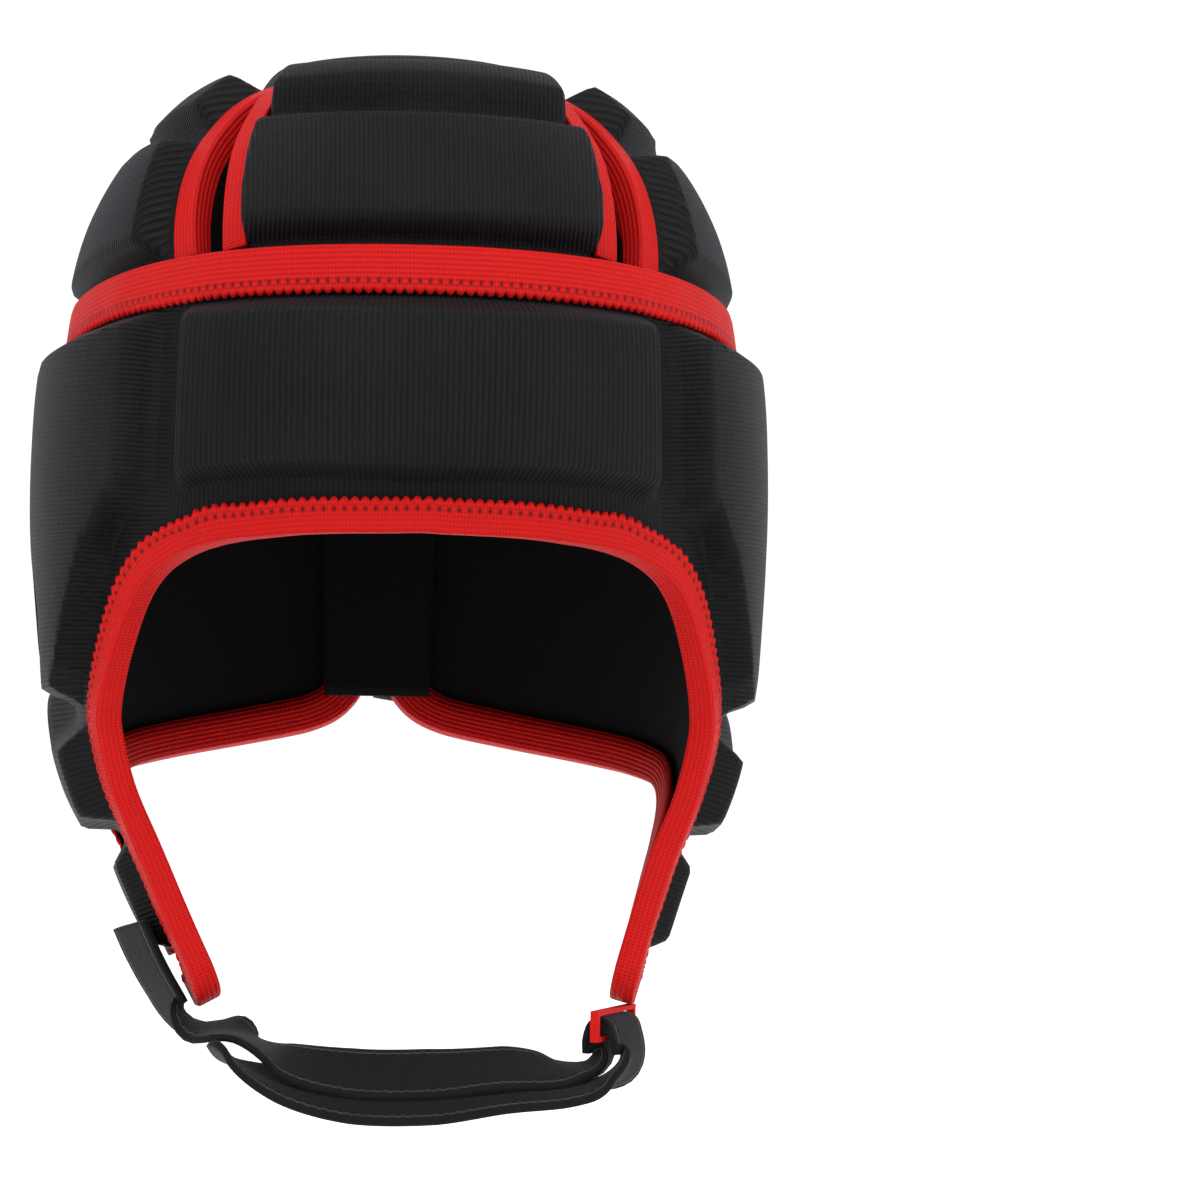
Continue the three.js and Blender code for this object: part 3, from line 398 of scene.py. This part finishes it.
def makeCamera():
    data = bpy.data.cameras.new("camera")
    data.lens = shot["lens"]
    camera = bpy.data.objects.new("camera", data)
    bpy.context.scene.collection.objects.link(camera)
    turn = math.radians(shot["azimuth"])
    place = Vector((math.sin(turn), -math.cos(turn), 0)) * shot["distance"]
    ahead = Matrix.Rotation(-math.radians(shot["yaw"]), 3, "Z") @ -place.normalized()
    camera.location = place + Vector((0, 0, shot["height"]))
    camera.rotation_mode = "QUATERNION"
    camera.rotation_quaternion = ahead.to_track_quat("-Z", "Y") @ Quaternion((0, 0, 1), math.radians(shot["roll"]))
    bpy.context.scene.camera = camera


makeCamera()


# Meshes
def makeMesh(name, points, faces, uv, materials, faceMaterial=None, smooth=True):
    # points in mm, faces as index lists, uv as one pair for each corner of each face
    data = bpy.data.meshes.new(name)
    data.from_pydata((np.asarray(points) * mm).tolist(), [], faces)
    for entry in materials:
        data.materials.append(entry)
    layer = data.uv_layers.new(name="cloth")
    layer.data.foreach_set("uv", np.asarray(uv, np.float32).ravel())
    if faceMaterial is not None:
        data.polygons.foreach_set("material_index", faceMaterial)
    data.polygons.foreach_set("use_smooth", [smooth] * len(data.polygons))
    data.update()
    made = bpy.data.objects.new(name, data)
    bpy.context.scene.collection.objects.link(made)
    return made


def place(piece, nodes, slot):
    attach(piece, "root")
    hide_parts(*nodes)


def closedShell(name, outer, inner, quads, uvOf):
    # a wall between two layers of matching points, with its free edges closed
    _, first, same = np.unique(np.round(outer, 3), axis=0, return_index=True, return_inverse=True)
    same = same.ravel()
    quads = same[np.asarray(quads)]
    count = len(first)
    kept, edges = [], set()
    for quad in quads.tolist():
        ring = [v for i, v in enumerate(quad) if v != quad[(i + 1) % 4]]
        if len(ring) < 3:
            continue
        kept.append(ring)
        edges.update(zip(ring, ring[1:] + ring[:1]))
    walls = [[b, a, a + count, b + count] for a, b in edges if (b, a) not in edges]
    faces = kept + [[v + count for v in reversed(ring)] for ring in kept] + walls
    points = np.vstack([outer[first], inner[first]])
    uv, index = [], []
    for i, face in enumerate(faces):
        flat = [first[v % count] for v in face]
        uv.extend(uvOf(flat))
        # the inner faces and the walls take the lining, whose near black is darkened as painted shade
        index.append(0 if i < len(kept) else 1)
    return makeMesh(name, points, faces, uv, [knit, liningAndShade], index)


def lofted(name, rings, uv, materials, closedEnds=True):
    # a tube of rings of points, each ring closed, with one uv pair for each point of each ring
    rings, uv = np.asarray(rings), np.asarray(uv)
    n, k = rings.shape[:2]
    faces, corners = [], []
    for i in range(n - 1):
        for j in range(k):
            m = (j + 1) % k
            faces.append([i * k + j, i * k + m, (i + 1) * k + m, (i + 1) * k + j])
            right = m if m else j
            corners.extend([uv[i, j], uv[i, right], uv[i + 1, right], uv[i + 1, j]])
    if closedEnds:
        for ring, order in ((0, range(k - 1, -1, -1)), (n - 1, range(k))):
            faces.append([ring * k + j for j in order])
            corners.extend([uv[ring, j] for j in order])
    return makeMesh(name, rings.reshape(-1, 3), faces, corners, materials)


def turnOut(piece):
    bpy.context.view_layer.objects.active = piece
    piece.select_set(True)
    bpy.ops.object.mode_set(mode="EDIT")
    bpy.ops.mesh.select_all(action="SELECT")
    bpy.ops.mesh.normals_make_consistent(inside=False)
    bpy.ops.object.mode_set(mode="OBJECT")
    piece.select_set(False)


def cutAway(piece, outlines, out, low, high):
    # cuts prisms over [angle, drop] outlines out of a piece
    rings, faces, start = [], [], 0
    for outline in outlines:
        path = np.asarray(outline, float)
        k = len(path)
        for level in (low, high):
            rings.append(out(path[:, 0], path[:, 1], level))
        for j in range(k):
            m = (j + 1) % k
            faces.append([start + j, start + m, start + k + m, start + k + j])
        faces.append([start + j for j in range(k)][::-1])
        faces.append([start + k + j for j in range(k)])
        start += 2 * k
    corners = np.zeros((sum(len(f) for f in faces), 2))
    cutter = makeMesh(piece.name + "_cutter", np.vstack(rings), faces, corners, [liningAndShade])
    turnOut(cutter)
    cutting = piece.modifiers.new("openings", "BOOLEAN")
    cutting.operation = "DIFFERENCE"
    cutting.solver = "FAST"
    cutting.object = cutter
    bpy.context.view_layer.objects.active = piece
    piece.select_set(True)
    bpy.ops.object.modifier_apply(modifier=cutting.name)
    piece.select_set(False)
    bpy.data.objects.remove(cutter)


# Crown
def boundaryAngle(vent, drop):
    _, rim, tip, top, _ = vent
    down = np.clip(1 - (drop - top) / (bandTop["side"] - top), 0, 1)
    return rim + (tip - rim) * down


boundaries = [vents[0], vents[2], ("rear", 180, 180, split["slotDrop"], split["slotHalf"])]


def ventPath(vent, beyond):
    name, rim, tip, top, half = vent
    foot = around(bandTop, rim) + beyond
    shape = slotShape if name == "rear" else ventShape
    rows = []
    for sign, order in ((-1, shape), (1, shape[::-1])):
        for t, share in order:
            angle, drop = rim + (tip - rim) * t, foot + (top - foot) * t
            rows.append([angle + sign * half * share * float(degreesPerMm(angle, drop)), drop])
        if sign < 0:
            rows.append([tip, top])
    return np.array(rows)


def offPath(path):
    angle, drop = path[:, 0], path[:, 1]
    perMm, dropMm = degreesPerMm(angle, drop), dropPerMm(angle, drop)
    run = np.stack([np.gradient(angle) / perMm, np.gradient(drop) / dropMm], -1)
    run /= np.linalg.norm(run, axis=-1, keepdims=True)
    return run[:, 1] * perMm, -run[:, 0] * dropMm


def grown(path, margin):
    turn, fall = offPath(path)
    return np.stack([path[:, 0] + margin * turn, path[:, 1] + margin * fall], -1)


def evenPath(path, out, step):
    # a smooth path through [angle, drop] points, spaced evenly
    dense = spline(path, 14)
    points = out(dense[:, 0], dense[:, 1], foam["edge"])
    run = np.concatenate([[0], np.cumsum(np.linalg.norm(np.diff(points, axis=0), axis=1))])
    count = max(int(round(run[-1] / step)), 4)
    even = np.linspace(0, run[-1], count + 1)
    made = np.stack([np.interp(even, run, dense[:, k]) for k in (0, 1)], -1)
    soft = made.copy()
    for _ in range(int(round(1.6 / step)) ** 2):
        soft[1:-1] = 0.25 * soft[:-2] + 0.5 * soft[1:-1] + 0.25 * soft[2:]
    return soft, even


def crownLift(angle, drop):
    a = np.abs(angle)
    perMm = degreesPerMm(angle, np.maximum(drop, 0.5))
    beside = []
    for b in boundaries:
        wide = np.sqrt(np.clip((drop - b[3] + gapShape["head"]) / gapShape["length"], 0, 1))
        full = b[4] + ribbon["thick"] + ribbon["ventReach"] + gapShape["margin"]
        half = foam["groove"] / 2 + (full - foam["groove"] / 2) * wide
        beside.append((np.abs(a - boundaryAngle(b, drop)) / perMm - half) / foam["bevel"])
    top = drop - around(topPadEdge, a)
    mid = drop - around(padGroove, a)
    rim = drop - around(bandTop, a)
    under = softMin(beside + [np.clip((top - 2.2) / 2.4, -9, 9), np.maximum(-1.2 - mid, 0) / 3 + np.maximum(
        mid - 1.2, 0) / 4, (-3 - rim) / 3.5])
    onTop = top < 1.5
    t = np.where(onTop, (0.9 - top) / 2, under)
    lift = foam["edge"] + padLift(t, foam["pad"]) * np.where(onTop, topPadShare, 1)
    return np.where(rim > 0.5, foam["hem"], lift)


def makeCrown(columns=372, rows=92):
    sideArc = outPoint(90, np.linspace(0, 90, 901), 3)
    arc = np.concatenate([[0], np.cumsum(np.linalg.norm(np.diff(sideArc, axis=0), axis=1))])
    drops = np.linspace(0, 90, 901)
    angle = np.linspace(-180, 180, columns + 1)
    hem = around(bandTop, angle) + foam["hemDepth"]
    q = np.linspace(0, 1, rows + 1)[:, None] * np.interp(hem, drops, arc)[None]
    drop = np.interp(q, arc, drops)
    angle = np.broadcast_to(angle, drop.shape)
    outer = outPoint(angle, drop, crownLift(angle, drop)).reshape(-1, 3)
    inner = outPoint(angle, drop, 0).reshape(-1, 3)
    i, j = np.meshgrid(np.arange(rows), np.arange(columns), indexing="ij")
    a = (i * (columns + 1) + j).ravel()
    quads = np.stack([a, a + columns + 1, a + columns + 2, a + 1], -1)
    flatAngle, arcs = angle.ravel(), q.ravel()

    def uvOf(corners):
        middle = abs(flatAngle[corners]).min()
        petal = 0 if middle < 34 else (1 if middle < 110 else 2)
        lean = math.radians(petalCentres[petal] * (1 if flatAngle[corners[0]] > 0 else -1))
        x = outer[corners] @ np.array([math.cos(lean), math.sin(lean), 0])
        return np.stack([x, arcs[corners]], -1).tolist()

    piece = closedShell("crown_pads", outer, inner, quads, uvOf)
    outlines = [spline(grown(ventPath(vent, 2), tapeFar), 6) for vent in vents]
    slot = spline(grown(ventPath(boundaries[2], -2), tapeFar), 6)
    deep = bandTop["back"] + 30
    outlines.append(np.vstack([[slot[0][0], deep], slot, [slot[-1][0], deep]]))
    cutAway(piece, outlines, outPoint, -7, 20)
    return piece


# Band
def beltRows(u, index):
    # top and bottom edge of a belt and the bare strips beside them, at angles u
    a = np.abs(u)
    topEdge = around(bandTop, a) + tapeFar
    jaw = np.where(a < flap["front"], smoothAlong(faceEdge, a), smoothAlong(jawGroove, a))
    nape = np.where(a < flap["back"], smoothAlong(flapGroove, a), smoothAlong(napeEdge, a))
    half = np.full_like(a, foam["groove"] / 2)
    if index == 0:
        inset = np.interp(a, *np.array(faceInset).T)
        return topEdge, jaw, np.full_like(a, ribbon["reach"] + 0.5), inset
    if index == 1:
        return jaw, nape, half, np.interp(a, *np.array(napeInset).T)
    return nape, smoothAlong(flapTip, a), half, np.full_like(a, 11.5)


def beltLift(u, drop, index):
    top, foot, topInset, footInset = beltRows(u, index)
    squeeze = np.minimum(1, (foot - top) / (topInset + footInset + 2 * foam["bevel"] + 1))
    squeeze = np.maximum(squeeze, 0.05)
    a = np.abs(u)
    sides = np.full_like(drop, -9.0)
    for low, high in bandSpans[index]:
        sides = np.maximum(sides, np.minimum((a - low) / bandRamp, (high - a) / bandRamp))
    edges = [(drop - top) / squeeze - topInset, (foot - drop) / squeeze - footInset]
    parts = [sides] + [edge / foam["bevel"] for edge in edges]
    perMm = degreesPerMm(ear["angle"], ear["drop"])
    away = np.hypot((a - ear["angle"]) / perMm, drop - ear["drop"])
    parts.append((away - ear["radius"]) / ear["flare"])
    height = foam["flapPad"] if index == 2 else foam["pad"]
    return foam["edge"] + padLift(softMin(parts), height)


def makeBand():
    stops = [-split["edge"], -flap["back"], -flap["front"], flap["front"], flap["back"], split["edge"]]
    segments = [np.linspace(a, b, int(round((b - a) / 0.88)) + 1) for a, b in zip(stops, stops[1:])]
    spans = {0: [0, 1, 2, 3, 4], 1: [0, 1, 3, 4], 2: [1, 3]}
    rows = {0: 58, 1: 20, 2: 27}
    outer, inner, quads, params, start = [], [], [], [], 0
    for index, used in spans.items():
        for k in used:
            u = segments[k]
            top, foot, _, _ = beltRows(u, index)
            t = np.linspace(0, 1, rows[index] + 1)[:, None]
            drop = top + (foot - top) * t
            grid = np.broadcast_to(u, drop.shape)
            outer.append(bandOut(grid, drop, beltLift(grid, drop, index)).reshape(-1, 3))
            inner.append(bandOut(grid, drop, 0).reshape(-1, 3))
            params.append(np.stack([grid, drop], -1).reshape(-1, 2))
            i, j = np.meshgrid(np.arange(rows[index]), np.arange(len(u) - 1), indexing="ij")
            a = start + (i * len(u) + j).ravel()
            quads.append(np.stack([a, a + len(u), a + len(u) + 1, a + 1], -1))
            start += drop.size
    params = np.vstack(params)

    def uvOf(corners):
        u, drop = params[corners].T
        pair = (u * 1.62, drop) if abs(u).min() < ribTurn else (drop, u * 1.62)
        return np.stack(pair, -1).tolist()

    piece = closedShell("band_pads", np.vstack(outer), np.vstack(inner), np.vstack(quads), uvOf)
    perMm = float(degreesPerMm(ear["angle"], ear["drop"]))
    outlines = []
    for side in (1, -1):
        for back, up, wide, tall, lean in earHoles:
            turn = side * np.linspace(0, 2 * np.pi, 28, endpoint=False)
            x, y = wide * np.cos(turn), tall * np.sin(turn)
            c, s = math.cos(math.radians(lean)), math.sin(math.radians(lean))
            angle = side * (ear["angle"] + (back + x * c + y * s) * perMm)
            outlines.append(np.stack([angle, ear["drop"] - (up - x * s + y * c)], -1))
    cutAway(piece, outlines, bandOut, -8, 16)
    return piece


crownPads = makeCrown()
place(crownPads, ["crown_shell"], "knit_pad")
bandPads = makeBand()
place(bandPads, ["band_shell"], "knit_pad")
print("pads")


# Tapes
def tapeSection(reach, tuck):
    # ring of [mm off the edge, mm out] of a folded tape, outside first, and its run in mm
    far, near, edge, r = tapeFar, ribbon["gap"], foam["edge"], ribbon["round"]
    outside = [[-reach + (reach + far - r) * t, edge + far] for t in (0, 0.06, 0.14, 0.3, 0.5, 0.7, 0.86, 1)]
    outside += [[far - r + r * math.sin(a), edge + far - r + r * math.cos(a)] for a in (0.5, 1.05, 1.5708)]
    outside += [[far, 0.5 * edge]]
    outside += [[far - r + r * math.cos(a), -far + r - r * math.sin(a)] for a in (0, 0.5, 1.05, 1.5708)]
    outside += [[-tuck * 0.5, -far], [-tuck, -far]]
    inside = [[-tuck, -near], [near, -near], [near, edge + near], [-reach, edge + near]]
    ring = np.array(outside + inside)
    run = np.concatenate([[0], np.cumsum(np.linalg.norm(np.diff(ring, axis=0), axis=1))])
    return ring, run, len(outside)


def makeTape(name, nodes, path, out, side, reach, tuck, picot):
    step = ribbon["step"] if picot else 0.9
    path, run = evenPath(path, out, step)
    turn, fall = offPath(path)
    ring, across, outside = tapeSection(reach, tuck)
    e = np.broadcast_to(ring[:, 0], (len(path), len(ring))).copy()
    n = np.broadcast_to(ring[:, 1], e.shape).copy()
    ripple = 0.1 * np.sin(run / 6.1) + 0.07 * np.sin(run / 2.9 + 1)
    n[:, 1:8] += ripple[:, None]
    if picot:
        lobe = np.abs(np.sin(np.pi * run / ribbon["pitch"]))
        e[:, [0, -1]] -= (ribbon["picot"] * lobe)[:, None]
        n[:, 0] += 0.42 * lobe - 0.5
        n[:, 1] += 0.3 * lobe - 0.05
    angle = path[:, :1] + side * e * turn[:, None]
    drop = path[:, 1:] + side * e * fall[:, None]
    uv = np.stack([np.broadcast_to(run[:, None], e.shape), np.broadcast_to(across, e.shape)], -1)
    piece = lofted(name, out(angle, drop, n), uv, [picotTape if picot else plainTape])
    turnOut(piece)
    place(piece, nodes, "red_tape")
    return piece


def mirrored(rows, side):
    return [[side * u, drop] for u, drop in rows]


def smoothRows(table, low, high, step):
    u = np.linspace(low, high, int(abs(high - low) / step) + 1)
    return np.stack([u, smoothAlong(table, u)], -1).tolist()


def makeTapes():
    u = np.linspace(-171.5, 171.5, 90)
    top = np.stack([u, around(bandTop, np.abs(u)) + tapeFar], -1)
    makeTape("band_top_tape", ["band_tape"], top, bandOut, 1, ribbon["reach"], ribbon["tuck"], True)
    front = [[57, 232.3], [53, 231.8], [49.6, 229.6], [flap["front"] + 0.2, 225]]
    front += [[flap["front"], drop] for drop in (219, 211, 203, 193, 184, 176, 169)]
    arch = smoothRows(faceEdge, flap["front"], 0, 3.2)
    half = front + arch
    face = half + mirrored(half[:-1][::-1], -1)
    makeTape("face_edge_tape", ["face_tape"], face, bandOut, 1, ribbon["faceReach"], ribbon["tuck"], True)
    rise = [[split["edge"], drop] for drop in (137, 125, 112, 100, 88, 78, bandTop["back"] + 2)]
    nape = smoothRows(flapTip, 66, 76, 2.5) + smoothRows(napeEdge, flap["back"], split["edge"], 4) + rise
    for name, side in (("left", 1), ("right", -1)):
        makeTape("nape_edge_tape_" + name, ["nape_tape_" + name], mirrored(nape, side), bandOut, -side,
                 ribbon["reach"], ribbon["tuck"], True)
    for vent in vents:
        path = grown(ventPath(vent, -1.6), tapeFar)
        makeTape("vent_edge_tape_" + vent[0], ["vent_tape_" + vent[0]], path, outPoint, -1,
                 ribbon["ventReach"], ribbon["ventTuck"], False)
    path = grown(ventPath(boundaries[2], 1), tapeFar)
    makeTape("slot_edge_tape", ["slot_tape"], path, outPoint, -1, ribbon["ventReach"], ribbon["ventTuck"], False)


makeTapes()
print("tapes")


patch = {"low": -177.4, "high": -171.6, "top": 66, "foot": 77}
panel = {"reach": 9, "top": 80, "foot": 162, "over": -4.05, "thick": 1.2}


def makeTab():
    low, high, top, foot = (patch[key] for key in ("low", "high", "top", "foot"))
    under = foam["edge"] + tapeFar + ribbon["clearance"]
    u, drop = np.meshgrid(np.linspace(low, high, 9), np.linspace(top, foot, 9))
    edge = np.minimum(np.minimum(u - low, high - u) * 1.9, np.minimum(drop - top, foot - drop)) / 1.2
    rise = ribbon["thick"] * (0.35 + 0.65 * np.sqrt(np.clip(edge, 0, 1)))
    outer = bandOut(u, drop, under + rise).reshape(-1, 3)
    inner = bandOut(u, drop, under).reshape(-1, 3)
    i, j = np.meshgrid(np.arange(8), np.arange(8), indexing="ij")
    a = (i * 9 + j).ravel()
    pairs = np.stack([drop.ravel(), u.ravel() * 1.7], -1)
    piece = closedShell("split_patch", outer, inner, np.stack([a, a + 9, a + 10, a + 1], -1),
                        lambda corners: pairs[corners].tolist())
    piece.data.materials.clear()
    piece.data.materials.append(plainTape)
    piece.data.polygons.foreach_set("material_index", [0] * len(piece.data.polygons))
    turnOut(piece)
    place(piece, ["split_tab"], "red_tape")


def makeGusset():
    reach, top, foot, over, thick = (panel[key] for key in ("reach", "top", "foot", "over", "thick"))
    u, drop = np.meshgrid(np.linspace(180 - reach, 180 + reach, 15), np.linspace(top, foot, 30))
    i, j = np.meshgrid(np.arange(29), np.arange(14), indexing="ij")
    a = (i * 15 + j).ravel()
    pairs = np.stack([u.ravel() * 1.7, drop.ravel()], -1)
    piece = closedShell("split_inner_panel", bandOut(u, drop, over).reshape(-1, 3),
                        bandOut(u, drop, over - thick).reshape(-1, 3),
                        np.stack([a, a + 15, a + 16, a + 1], -1), lambda corners: pairs[corners].tolist())
    # the panel takes the lining's near black, darkened as painted shade
    piece.data.materials[0] = liningAndShade
    turnOut(piece)
    place(piece, ["split_gusset"], "knit_pad")


makeTab()
makeGusset()


# Strap and keeper, in millimetres and degrees
strap = {
    "width": 19, "thick": 2.4,
    # x, y, z and lean of its centre, under the chin and folded back
    "under": [[-40, -62, -244, 14], [-29, -64, -249.5, 26], [-12, -66, -252.5, 33], [8, -66, -252.5, 33],
              [27, -65, -251, 26], [42, -61.5, -251.6, 10]],
    "back": [[50, -65.6, -254, 8], [42, -68.4, -255.4, 18], [27, -70, -256, 26], [8, -71.4, -258, 33],
             [-12, -71.4, -258, 33], [-29, -69.4, -255, 26], [-42, -67, -249.6, 14], [-47.6, -66, -245, 10]],
    # [mm up, mm out] over the flap, and [mm out, mm up] through the keeper
    "sewn": [[24, 0.6], [16, 0.6], [8, 0], [1, -1.2]],
    "fold": [[-4.2, -9], [-3.6, -2.8], [-2.2, 0.5], [0, 1.3], [2.2, 0.5], [3.6, -2.8], [4.2, -9]],
    "keeper": np.array([54, -58.6, -240]), "keeperWide": np.array([0.482, 0.876, 0]),
    "keeperOut": np.array([0.876, -0.482, 0]),
}


def makeStrap():
    over = foam["edge"] + foam["flapPad"] + 2 * ribbon["clearance"] + 1.1
    rows = [(bandOut(-57, head["headDrop"] - up, over + out), 0) for up, out in strap["sewn"]]
    rows += [(np.array(row[:3], float), row[3]) for row in strap["under"]]
    across = []
    for at, lean in rows:
        cross = np.clip(at[0] / 45, -1, 1) * 0.55
        across.append([cross, math.cos(math.radians(lean)), math.sin(math.radians(lean))])
    points = [at for at, _ in rows]
    for out, up in strap["fold"]:
        points.append(strap["keeper"] + strap["keeperOut"] * out + np.array([0, 0, up]))
        across.append(strap["keeperWide"].tolist())
    for x, y, z, lean in strap["back"]:
        points.append(np.array([x, y, z], float))
        cross = np.clip(x / 45, -1, 1) * 0.55
        across.append([cross, math.cos(math.radians(lean)), math.sin(math.radians(lean))])
    line = spline(points, 9)
    span = np.linspace(0, len(points) - 1, len(line))
    wide = np.stack([np.interp(span, np.arange(len(points)), np.array(across)[:, k]) for k in range(3)], -1)
    run = np.gradient(line, axis=0)
    run /= np.linalg.norm(run, axis=1, keepdims=True)
    wide -= run * (wide * run).sum(1, keepdims=True)
    wide /= np.linalg.norm(wide, axis=1, keepdims=True)
    normal = np.cross(run, wide)
    length = np.concatenate([[0], np.cumsum(np.linalg.norm(np.diff(line, axis=0), axis=1))])
    half, thick = strap["width"] / 2, strap["thick"] / 2
    left = np.clip((length[-1] - length) / half, 0.02, 1)
    taper = np.sqrt(1 - (1 - left) ** 2)
    turns = np.linspace(0, 2 * np.pi, 24, endpoint=False)
    w = np.sign(np.cos(turns)) * np.abs(np.cos(turns)) ** 0.35
    h = np.sign(np.sin(turns)) * np.abs(np.sin(turns)) ** 0.5
    rings = (line[:, None] + wide[:, None] * (w * half)[None, :, None] * taper[:, None, None]
             + normal[:, None] * (h * thick)[None, :, None])
    uv = np.stack([np.broadcast_to(length[:, None], rings.shape[:2]),
                   np.broadcast_to(w * half, rings.shape[:2])], -1)
    piece = lofted("chin_strap_padded", rings, uv, [strapCloth])
    turnOut(piece)
    place(piece, ["chin_strap"], "strap_web")
    print("strap length", round(float(length[-1]), 1))


makeStrap()
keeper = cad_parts["strap_keeper"]
keeper.material_slots[0].material = keeperMaterial()


# Lace over the split: [mm from its middle, drop, lift over the foam's edge]; the bow as [x, y, z]
lace = {
    "thick": 2.3,
    "strands": {
        "lace_cross_under": [[15.2, 83.4, 5.35], [12, 86, 6.6], [6, 90.6, 6.4], [0, 94.5, 6.4], [-6, 98.4, 6.4],
                             [-11.4, 102, 6.6], [-15, 104, 5.35]],
        "lace_cross_over": [[-15.4, 81, 5.45], [-12.4, 83.6, 6.6], [-6, 89.6, 7.2], [0, 94.5, 9.2], [6, 99.4, 7.2],
                            [11.4, 103, 6.6], [15, 105.2, 5.35]],
        "lace_lower_left": [[2.6, 116.6, 5.8], [6, 120.4, 6.4], [11.4, 128.4, 6.6], [15, 131.4, 5.35]],
        "lace_lower_right": [[3, 113, 5.8], [-2, 116.4, 6.8], [-8, 122.6, 6.4], [-12, 128, 6.6], [-15.2, 130.4, 5.35]],
    },
    "knot": {"at": [-1.4, 114, -157.4], "scale": 1.12},
    "toKnot": {
        "lace_to_knot_left": [[15.2, 109.6, -143.2], [10.8, 112, -145.2], [6, 113, -149], [2.4, 113.8, -152.6]],
        "lace_to_knot_right": [[-15.4, 109.6, -143.8], [-11.2, 112, -145.8], [-7.6, 113, -149.4], [-5, 113.8, -153]],
    },
    "free": {
        "bow_loop_left": ("object", [[3, 116, -155.6], [14, 121, -152], [27, 127, -145.5], [37, 129.5, -141.5],
                                     [42, 128, -143.5], [40.5, 125, -150], [30, 121.5, -156], [16, 117.5, -159],
                                     [3.2, 114.2, -158.8]]),
        "bow_loop_right": ("object", [[-6, 115.3, -158.2], [-22, 120, -155.4], [-42, 120, -149], [-58, 114, -142.5],
                                      [-66, 108.5, -139.5], [-65, 107.5, -135.6], [-56, 113, -135.5], [-40, 121, -140],
                                      [-22, 122.5, -147.5], [-5, 117.4, -154.6]]),
        "lace_tail_left": ("bare", [[0.2, 115.2, -162], [10, 118, -163.6], [24, 116.5, -166], [37, 111.5, -169],
                                    [47, 106.5, -171.5]]),
        "lace_tail_right": ("bare", [[-4.6, 115.6, -161.2], [-16, 118.4, -162.4], [-30, 117.4, -161], [-41, 113.5, -157],
                                     [-49, 110, -152.5]]),
    },
}


def makeCord(name, points, nodes):
    line = spline(points, 5)
    data = bpy.data.curves.new(name, "CURVE")
    data.dimensions = "3D"
    data.bevel_depth = lace["thick"] / 2 * mm
    data.bevel_resolution = 3
    data.use_fill_caps = True
    data.materials.append(laceCord)
    route = data.splines.new("POLY")
    route.points.add(len(line) - 1)
    for point, at in zip(route.points, line):
        point.co = (*(at * mm), 1)
    made = bpy.data.objects.new(name, data)
    bpy.context.scene.collection.objects.link(made)
    place(made, nodes, "lace_cord")
    return made, line * mm


def makeLace():
    for name, rows in lace["strands"].items():
        across, drop, out = np.array(rows).T
        angle = 180 - across * degreesPerMm(179, drop)
        angle = np.where(angle > 180, angle - 360, angle)
        makeCord(name + "_cord", bandOut(angle, drop, out), [name])
    for name, points in lace["toKnot"].items():
        makeCord(name + "_cord", points, [name])
    turn = np.linspace(0, 2 * np.pi, 40)[:-1]
    s = lace["knot"]["scale"]
    tied = np.stack([np.sin(turn) + 2 * np.sin(2 * turn), -1.2 * np.sin(3 * turn),
                     np.cos(turn) - 2 * np.cos(2 * turn)], -1)
    makeCord("tied_knot", np.array(lace["knot"]["at"]) + tied * s, ["lace_knot"])
    for name, (farEnd, points) in lace["free"].items():
        made, line = makeCord(name + "_cord", points, [name])


makeLace()
print("strap and lace")


# Floor and light
def makeStage():
    bpy.ops.mesh.primitive_plane_add(size=8, location=(0, 0, -0.4))
    floor = bpy.context.object
    floor.name = "floor"
    made, _, _ = material("pale floor", {"colour": "#ffffff", "rough": 0.9, "specular": 0.0})
    floor.data.materials.append(made)
    world = bpy.data.worlds.new("studio")
    world.use_nodes = True
    world.node_tree.nodes["Background"].inputs["Color"].default_value = linear("#ffffff")
    world.node_tree.nodes["Background"].inputs["Strength"].default_value = 1.06
    bpy.context.scene.world = world
    # place, aim, size, power
    for x, y, z, size, power in ((-1.5, -1.2, 0.9, 1.0, 26), (1.6, -0.9, 0.5, 1.0, 20), (0.1, -0.6, 1.6, 1.2, 22)):
        light = bpy.data.lights.new("soft light", "AREA")
        light.size = size
        light.energy = power
        lamp = bpy.data.objects.new("soft light", light)
        lamp.location = (x, y, z)
        aim = Vector((0, 0, -0.12)) - Vector((x, y, z))
        lamp.rotation_euler = aim.to_track_quat("-Z", "Y").to_euler()
        bpy.context.scene.collection.objects.link(lamp)
    bpy.context.scene.view_settings.view_transform = "Standard"


makeStage()
print("stage")
